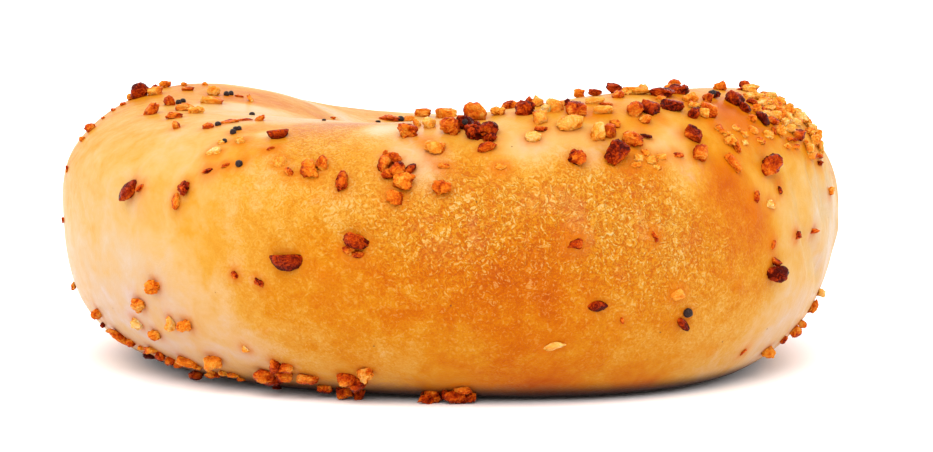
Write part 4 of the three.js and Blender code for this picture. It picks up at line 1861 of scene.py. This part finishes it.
def sprinkle_tree() -> GeometryGraph:
    """Makes the tree that lays granules on the crust.

    Some lie at points that it is given, and the rest are strewn where the crust's own sprinkle
    attribute lets them, at least a spacing apart.

    Returns:
        The tree.
    """
    g = GeometryGraph(
        "sprinkle",
        {
            "Placed": "object",
            "Variants": "collection",
            "First Strewn": 8,
            "Last Strewn": 12,
            "Seed": SEED,
            "Spacing": 0.004,
            "Density": 9000.0,
            "Smallest": 0.001,
            "Largest": 0.003,
            "Thickness": 0.8,
            "Lift": 0.2,
            "Palest": 0.2,
            "Darkest": 0.9,
            "Material": "material",
        },
    )
    strewn = g.node(
        "GeometryNodeDistributePointsOnFaces",
        {"distribute_method": "POISSON"},
        {
            "Mesh": g.given("Geometry"),
            "Distance Min": g.given("Spacing"),
            "Density Max": g.given("Density"),
            "Density Factor": g.read(Trait.SPRINKLE),
            "Seed": g.given("Seed"),
        },
    )
    tip = g.chance((-0.5, -0.5, -math.pi), (0.5, 0.5, math.pi), 1, "FLOAT_VECTOR")
    turned = g.node(
        "FunctionNodeRotateRotation",
        {"rotation_space": "LOCAL"},
        {"Rotation": strewn.outputs["Rotation"], "Rotate By": tip},
    )
    euler = g.node("FunctionNodeRotationToEuler", inputs={0: turned.outputs[0]}).outputs[0]
    length = g.chance(g.given("Smallest"), g.given("Largest"), 2)
    width = g.times(length, g.chance(0.55, 1.0, 3))
    thick = g.times(width, g.given("Thickness"))
    size = g.node("ShaderNodeCombineXYZ", inputs={0: length, 1: width, 2: thick}).outputs[0]
    rise = g.scaled(strewn.outputs["Normal"], g.times(thick, g.given("Lift")))
    points = g.moved(strewn.outputs[0], {"Offset": rise})
    points = g.store(points, Trait.TURN, euler, "FLOAT_VECTOR")
    points = g.store(points, Trait.SIZE, size, "FLOAT_VECTOR")
    points = g.store(points, Trait.TONE, g.chance(g.given("Palest"), g.given("Darkest"), 4))
    shape = g.chance(g.given("First Strewn"), g.given("Last Strewn"), 5, "INT")
    points = g.store(points, Trait.VARIANT, shape, "INT")

    placed = g.node("GeometryNodeObjectInfo", {"transform_space": "ORIGINAL"}, {0: g.given("Placed")})
    dots = g.node("GeometryNodeMeshToPoints", inputs={0: placed.outputs["Geometry"]})
    joined = g.node("GeometryNodeJoinGeometry")
    g.feed(joined.inputs[0], points)
    g.feed(joined.inputs[0], dots.outputs[0])

    shapes = g.node(
        "GeometryNodeCollectionInfo",
        inputs={0: g.given("Variants"), "Separate Children": True, "Reset Children": True},
    )
    turn = g.node("FunctionNodeEulerToRotation", inputs={0: g.read(Trait.TURN, "FLOAT_VECTOR")})
    laid = g.node(
        "GeometryNodeInstanceOnPoints",
        inputs={
            "Points": joined.outputs[0],
            "Instance": shapes.outputs[0],
            "Pick Instance": True,
            "Instance Index": g.read(Trait.VARIANT, "INT"),
            "Rotation": turn.outputs[0],
            "Scale": g.read(Trait.SIZE, "FLOAT_VECTOR"),
        },
    )
    g.finish(laid.outputs[0])
    return g


@dataclass
class Topping:
    """One kind of granule: those that the camera sees, each in its own place, and the rest strewn.

    The spacing and the strewn granules' sizes are in millimetres, and the density is in granules to a
    square metre. Lifts and the resting share are shares of a granule's own size.
    """

    name: str
    slot: Slot
    seen: tuple[Seen, ...]
    cutters: tuple[tuple[GranuleCutter, int], ...]
    strewn_cutter: GranuleCutter
    finish: GranuleFinish | SeedFinish
    spacing: float
    density: float
    smallest: float
    largest: float
    palest: float
    darkest: float
    strewn_shapes: int = 10
    thickness: float = 0.8
    lift: float = 0.22
    fullness: float = 1.08
    skyline_lift: float = 0.36
    resting_share: float = 0.42
    least_slant: float = 0.35
    skyline_search: int = 60
    stride: float = 0.1 * MM
    seed: int = SEED

    def cut_variants(self) -> tuple[bpy.types.Collection, list[Form]]:
        """Cuts the shapes that the granules are picked from, and plainer ones for the strewn ones.

        Returns:
            A collection outside the scene, and the form of each seen granule's shape in it.
        """
        dice = np.random.default_rng(self.seed)
        shelf = bpy.data.collections.new(f"{self.name}_shapes")
        cutters = [cutter for cutter, copies in self.cutters for _ in range(copies)]
        for index, cutter in enumerate(cutters + [self.strewn_cutter] * self.strewn_shapes):
            shelf.objects.link(cutter.cut(f"{self.name}_shape_{index:02d}", dice))
        return shelf, [cutter.form for cutter in cutters]

    def risen(self, tree: BVHTree, view: Viewpoint, way: Vector, depth: float, rise: float) -> Vector:
        """Walks towards the camera until a place stands clear of the crust.

        Args:
            tree: The crust's faces.
            view: The camera.
            way: The direction that the place is seen in.
            depth: How far from the camera the walk starts.
            rise: How far from the crust the place should be.

        Returns:
            Where the walk ends.
        """
        while tree.find_nearest(view.eye + way * depth)[3] < rise:
            depth -= self.stride
        return view.eye + way * depth

    def seat(self, seen: Seen, tree: BVHTree, view: Viewpoint) -> tuple[Vector, float]:
        """Finds where a granule that the camera sees sits.

        Args:
            seen: The granule.
            tree: The crust's faces.
            view: The camera.

        Returns:
            Its middle, and how many metres one of its pixels covers.
        """
        way = view.ray(seen.x, seen.y)
        sight = view.sight(tree, seen.x, seen.y)
        if sight is not None:
            pixel = sight.pixel
            lift = seen.lift * min(seen.wide, seen.tall) * pixel
            back = lift / max(-way.dot(sight.normal), self.least_slant)
            middle = self.risen(tree, view, way, sight.depth - back, lift)
        else:
            steps = range(-self.skyline_search, self.skyline_search + 1)
            along = [view.distance + step * MM for step in steps]
            near = min(along, key=lambda depth: tree.find_nearest(view.eye + way * depth)[3])
            pixel = view.pixel_size(near)
            rise = self.skyline_lift * min(seen.wide, seen.tall) * pixel
            middle = self.risen(tree, view, way, near, rise)
            resting = self.resting_share * seen.tall * pixel
            if middle.z < resting:
                middle = view.eye + way * ((resting - view.eye.z) / way.z)
            touch, _, _, gap = tree.find_nearest(middle)
            most = self.resting_share * min(seen.wide, seen.tall) * pixel
            if gap > most:
                middle = touch + (middle - touch) * (most / gap)
        middle.z = max(middle.z, self.resting_share * seen.tall * pixel)
        return middle, pixel

    def place_seen(self, crust: Piece, view: Viewpoint, forms: list[Form]) -> Piece:
        """Makes the points at which the seen granules lie.

        Args:
            crust: The crust that carries them.
            view: The camera.
            forms: The form of each shape that there is to pick from.

        Returns:
            An object of loose points, which carry each granule's turn, size, tone and shape.
        """
        dice = np.random.default_rng(self.seed + 1)
        tree = face_tree(crust.data)
        middles, turns, sizes, shapes = [], [], [], []
        for seen in self.seen:
            middle, pixel = self.seat(seen, tree, view)
            middles.append(middle)
            lean = math.radians(seen.lean)
            across = view.right * math.cos(lean) + view.up * math.sin(lean)
            rise = view.up * math.cos(lean) - view.right * math.sin(lean)
            turn = Matrix((across, rise, across.cross(rise))).transposed()
            for axis in "Y" if seen.form is Form.LENS else "XYZ":
                turn = turn @ Matrix.Rotation(math.pi * int(dice.integers(0, 2)), 3, axis)
            turns.append(turn.to_euler())
            thick = self.thickness * 0.5 * (seen.wide + seen.tall)
            sizes.append(Vector((seen.wide, seen.tall, thick)) * (self.fullness * pixel))
            fitting = [index for index, form in enumerate(forms) if form is seen.form]
            shapes.append(int(dice.choice(fitting)))
        mesh = bpy.data.meshes.new(f"{self.name}_places")
        mesh.from_pydata(middles, [], [])
        write_trait(mesh, Trait.TURN, np.array(turns, dtype=float))
        write_trait(mesh, Trait.SIZE, np.array(sizes, dtype=float))
        write_trait(mesh, Trait.TONE, np.array([seen.tone for seen in self.seen], dtype=float))
        write_trait(mesh, Trait.VARIANT, np.array(shapes, dtype=np.int32))
        return add_object(mesh.name, mesh)

    def build(self, crust: Piece, view: Viewpoint, tree: GeometryGraph) -> Piece:
        """Lays the topping on the crust.

        Args:
            crust: The crust that carries it, with its sprinkle attribute.
            view: The camera.
            tree: The tree that lays granules.

        Returns:
            The topping as one piece.
        """
        shelf, forms = self.cut_variants()
        placed = self.place_seen(crust, view, forms)
        host = add_object(f"{self.name}_host", crust.data.copy())
        mesh = tree.apply(
            host,
            {
                "Placed": placed,
                "Variants": shelf,
                "First Strewn": len(forms),
                "Last Strewn": len(forms) + self.strewn_shapes - 1,
                "Seed": self.seed,
                "Spacing": self.spacing * MM,
                "Density": self.density,
                "Smallest": self.smallest * MM,
                "Largest": self.largest * MM,
                "Thickness": self.thickness,
                "Lift": self.lift,
                "Palest": self.palest,
                "Darkest": self.darkest,
                "Material": self.finish.build(),
            },
        )
        for helper in (host, placed, *shelf.objects):
            bpy.data.objects.remove(helper)
        bpy.data.collections.remove(shelf)
        places = vertex_places(mesh)
        places[:, 2] = np.maximum(places[:, 2], 0.0)
        mesh.vertices.foreach_set("co", places.ravel())
        mesh.update()
        mesh.name = self.name
        LOG.info("%s: %d seen, %d faces", self.name, len(self.seen), len(mesh.polygons))
        return add_object(self.name, mesh)


@dataclass(frozen=True)
class Strewing:
    """Where granules may be strewn: on the parts of the crust that the camera doesn't see."""

    # How tall a granule may be and still stay hidden.
    clearance: float = 2.6 * MM
    on_wall: float = 0.07
    on_foot: float = 0.55
    # The height of the foot's middle and its spread, in millimetres.
    foot_height: float = 3.0
    patch_size: float = 14.0 * MM
    in_hole: float = 0.15

    def mark(self, crust: Piece, view: Viewpoint) -> None:
        """Writes how thickly granules may be strewn.

        Args:
            crust: The crust, which gets its sprinkle attribute.
            view: The camera.
        """
        places = vertex_places(crust.data)
        normals = rows_of(crust.data.vertex_normals, "vector")
        rise = normals[:, 2]
        tree = face_tree(crust.data)
        hidden = np.empty(len(places))
        for index, place in enumerate(places + normals * self.clearance):
            way = Vector(np.array(view.eye) - place)
            hidden[index] = 1.0 if tree.ray_cast(Vector(place), way.normalized(), way.length)[0] else 0.0
        patches = slow_noise(places, self.patch_size, Vector((3.0, 8.0, 1.0)))
        top = np.clip((rise - 0.05) / 0.5, 0.0, 1.0) * np.clip(0.55 + 1.3 * patches, 0.1, 1.2)
        above_foot = (places[:, 2] / MM - self.foot_height) / self.foot_height
        foot = self.on_foot * np.exp(-(above_foot**2)) * (rise > -0.85)
        middle = places - np.array(RING_MIDDLE)
        radius = np.hypot(middle[:, 0], middle[:, 1]) / MM
        outer = np.maximum(share_between(radius, 13.0, 19.0), self.in_hole)
        level = hidden * outer * np.clip(top + foot + self.on_wall, 0.0, 1.0)
        level[rise < -0.9] = 0.0
        write_trait(crust.data, Trait.SPRINKLE, level)


STREWN_CHUNK = GranuleCutter(
    Form.CHUNK, points=60, chips=8, crispness=24.0, dents=1, crumble=0.08, toasted_edge=0.3
)
ONION_LENS = GranuleCutter(
    Form.LENS, boxiness=1.8, chips=0, dents=2, crumble=0.05, flat_top=0.14, darker_below=3.0
)

ONION = Topping(
    name="toasted_onion",
    slot=Slot.ONION,
    seen=ONION_SEEN,
    cutters=(
        (GranuleCutter(Form.CHUNK, crispness=26.0, crumble=0.09), 10),
        (GranuleCutter(Form.CHUNK, boxiness=3.0, chips=10, crispness=24.0, crumble=0.15, knobs=3), 8),
        (GranuleCutter(Form.SPLINTER, boxiness=2.0, chips=6, crispness=24.0, crumble=0.06), 5),
        (ONION_LENS, 1),
        (GranuleCutter(Form.ALMOND, boxiness=1.5, chips=0, dents=1, crumble=0.05), 2),
    ),
    strewn_cutter=STREWN_CHUNK,
    finish=GranuleFinish(
        name="toasted_onion",
        stops=(
            (0.10, srgb(255, 204, 126)),
            (0.30, srgb(255, 174, 68)),
            (0.46, srgb(250, 138, 32)),
            (0.60, srgb(232, 100, 14)),
            (0.74, srgb(198, 66, 7)),
            (0.88, srgb(150, 36, 4)),
            (1.00, srgb(86, 14, 3)),
        ),
    ),
    spacing=2.6,
    density=42000.0,
    smallest=1.0,
    largest=3.1,
    palest=0.42,
    darkest=0.92,
)

GARLIC = Topping(
    name="garlic_granules",
    slot=Slot.GARLIC,
    seen=GARLIC_SEEN,
    cutters=(
        (GranuleCutter(Form.CHUNK, boxiness=3.6, crispness=26.0, crumble=0.09), 9),
        (GranuleCutter(Form.CHUNK, boxiness=2.6, chips=8, crispness=24.0, crumble=0.15, knobs=3), 7),
        (GranuleCutter(Form.SPLINTER, boxiness=2.0, chips=6, crumble=0.06), 3),
    ),
    strewn_cutter=replace(STREWN_CHUNK, crumble=0.06),
    finish=GranuleFinish(
        name="garlic_granules",
        stops=(
            (0.00, srgb(255, 222, 158)),
            (0.20, srgb(255, 198, 104)),
            (0.40, srgb(254, 170, 58)),
            (0.60, srgb(246, 136, 28)),
            (0.78, srgb(222, 98, 12)),
            (0.95, srgb(176, 58, 6)),
        ),
        body=0.50,
        dulling=(0.63, 0.63, 0.63, 1.0),
    ),
    spacing=3.0,
    density=30000.0,
    smallest=0.9,
    largest=2.6,
    palest=0.12,
    darkest=0.62,
    fullness=1.16,
    seed=SEED + 20,
)

POPPY = Topping(
    name="poppy_seeds",
    slot=Slot.POPPY,
    seen=POPPY_SEEN,
    cutters=((GranuleCutter(Form.BEAD, points=160, boxiness=2.1, chips=0, dents=1, crumble=0.02), 3),),
    strewn_cutter=GranuleCutter(Form.BEAD, points=40, boxiness=2.1, chips=0, dents=1, crumble=0.02),
    strewn_shapes=3,
    finish=SeedFinish(),
    spacing=5.0,
    density=5000.0,
    smallest=0.78,
    largest=0.95,
    palest=0.4,
    darkest=0.6,
    lift=0.3,
    seed=SEED + 40,
)


# ---- The studio ----


@dataclass(frozen=True)
class SoftSun:
    """A broad soft light from far away, which lights the whole floor evenly."""

    name: str
    azimuth: float
    elevation: float
    breadth: float
    strength: float

    def build(self) -> None:
        """Makes the light."""
        data = bpy.data.lights.new(self.name, "SUN")
        data.angle = math.radians(self.breadth)
        data.energy = self.strength * math.pi
        turn, rise = math.radians(self.azimuth), math.radians(self.elevation)
        way = Vector((math.sin(turn) * math.cos(rise), -math.cos(turn) * math.cos(rise), math.sin(rise)))
        light = bpy.data.objects.new(self.name, data)
        light.rotation_euler = way.to_track_quat("Z", "Y").to_euler()
        bpy.context.scene.collection.objects.link(light)


@dataclass
class Studio:
    """A white floor in a white room that is darker and warmer on the camera's side, and soft lights.

    Azimuth 0 is the camera's side, and 90 is +X.
    """

    floor_size: float = 24.0
    floor_glow: float = 0.004
    floor_tones: tuple[Colour, Colour] = (srgb(251, 248, 248), srgb(252, 249, 249))
    room: Colour = (1.25, 1.25, 1.25, 1.0)
    dark_side: Colour = (0.66, 0.53, 0.46, 1.0)
    lights: tuple[SoftSun, ...] = (
        SoftSun("key", azimuth=-7.0, elevation=46.0, breadth=62.0, strength=1.10),
        SoftSun("rim", azimuth=170.0, elevation=42.0, breadth=40.0, strength=0.18),
        SoftSun("left", azimuth=-95.0, elevation=14.0, breadth=50.0, strength=0.22),
        SoftSun("right", azimuth=95.0, elevation=16.0, breadth=50.0, strength=0.20),
    )

    def lay_floor(self) -> None:
        """Makes the floor."""
        half = self.floor_size / 2
        corners = [(-half, -half, 0.0), (half, -half, 0.0), (half, half, 0.0), (-half, half, 0.0)]
        mesh = bpy.data.meshes.new("floor")
        mesh.from_pydata(corners, [], [(0, 1, 2, 3)])
        g = SurfaceGraph("floor")
        soft = g.noise(g.place(), 400.0, 1.0)
        g.shade(
            {
                "Base Color": g.mix(soft, *self.floor_tones),
                "Roughness": 0.9,
                "Specular IOR Level": 0.1,
                "Emission Color": WHITE,
                "Emission Strength": self.floor_glow,
            }
        )
        mesh.materials.append(g.material)
        add_object("floor", mesh)

    def light_room(self) -> None:
        """Makes the room's light, which fades smoothly from its dark side to the rest."""
        world = bpy.data.worlds.new("room")
        world.use_nodes = True
        g = Graph(world.node_tree)
        way = g.node("ShaderNodeTexCoord").outputs["Generated"]
        toward = g.add(g.part(way, "Y"), g.part(way, "Z"), 0.6)
        sky = world.node_tree.nodes["Background"]
        g.feed(sky.inputs["Color"], g.mix(g.spread(toward, -0.75, 0.1), self.dark_side, self.room))
        bpy.context.scene.world = world

    def build(self) -> None:
        """Makes the floor, the room's light and the lights."""
        self.lay_floor()
        self.light_room()
        for light in self.lights:
            light.build()
        bpy.context.scene.view_settings.view_transform = "Standard"
        LOG.info("studio: %d lights", len(self.lights))


def dress(piece: Piece) -> None:
    """Makes a finished piece ride on the bagel."""
    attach(piece, BODY)


def main() -> None:
    """Builds the bagel and its studio."""
    logging.basicConfig(level=logging.INFO, format="%(name)s %(message)s")
    view = Viewpoint()
    view.build()
    maker = Crust(carrier=frame["nodes"][NODE], view=view)
    crust = maker.build()
    Strewing().mark(crust, view)
    tree = sprinkle_tree()
    toppings = []
    for topping in (ONION, GARLIC, POPPY):
        piece = topping.build(crust, view, tree)
        dress(piece)
        toppings.append(piece)
    maker.stain(crust, toppings)
    dress(crust)
    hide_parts(NODE)
    Studio().build()


if __name__ == "__main__":
    main()
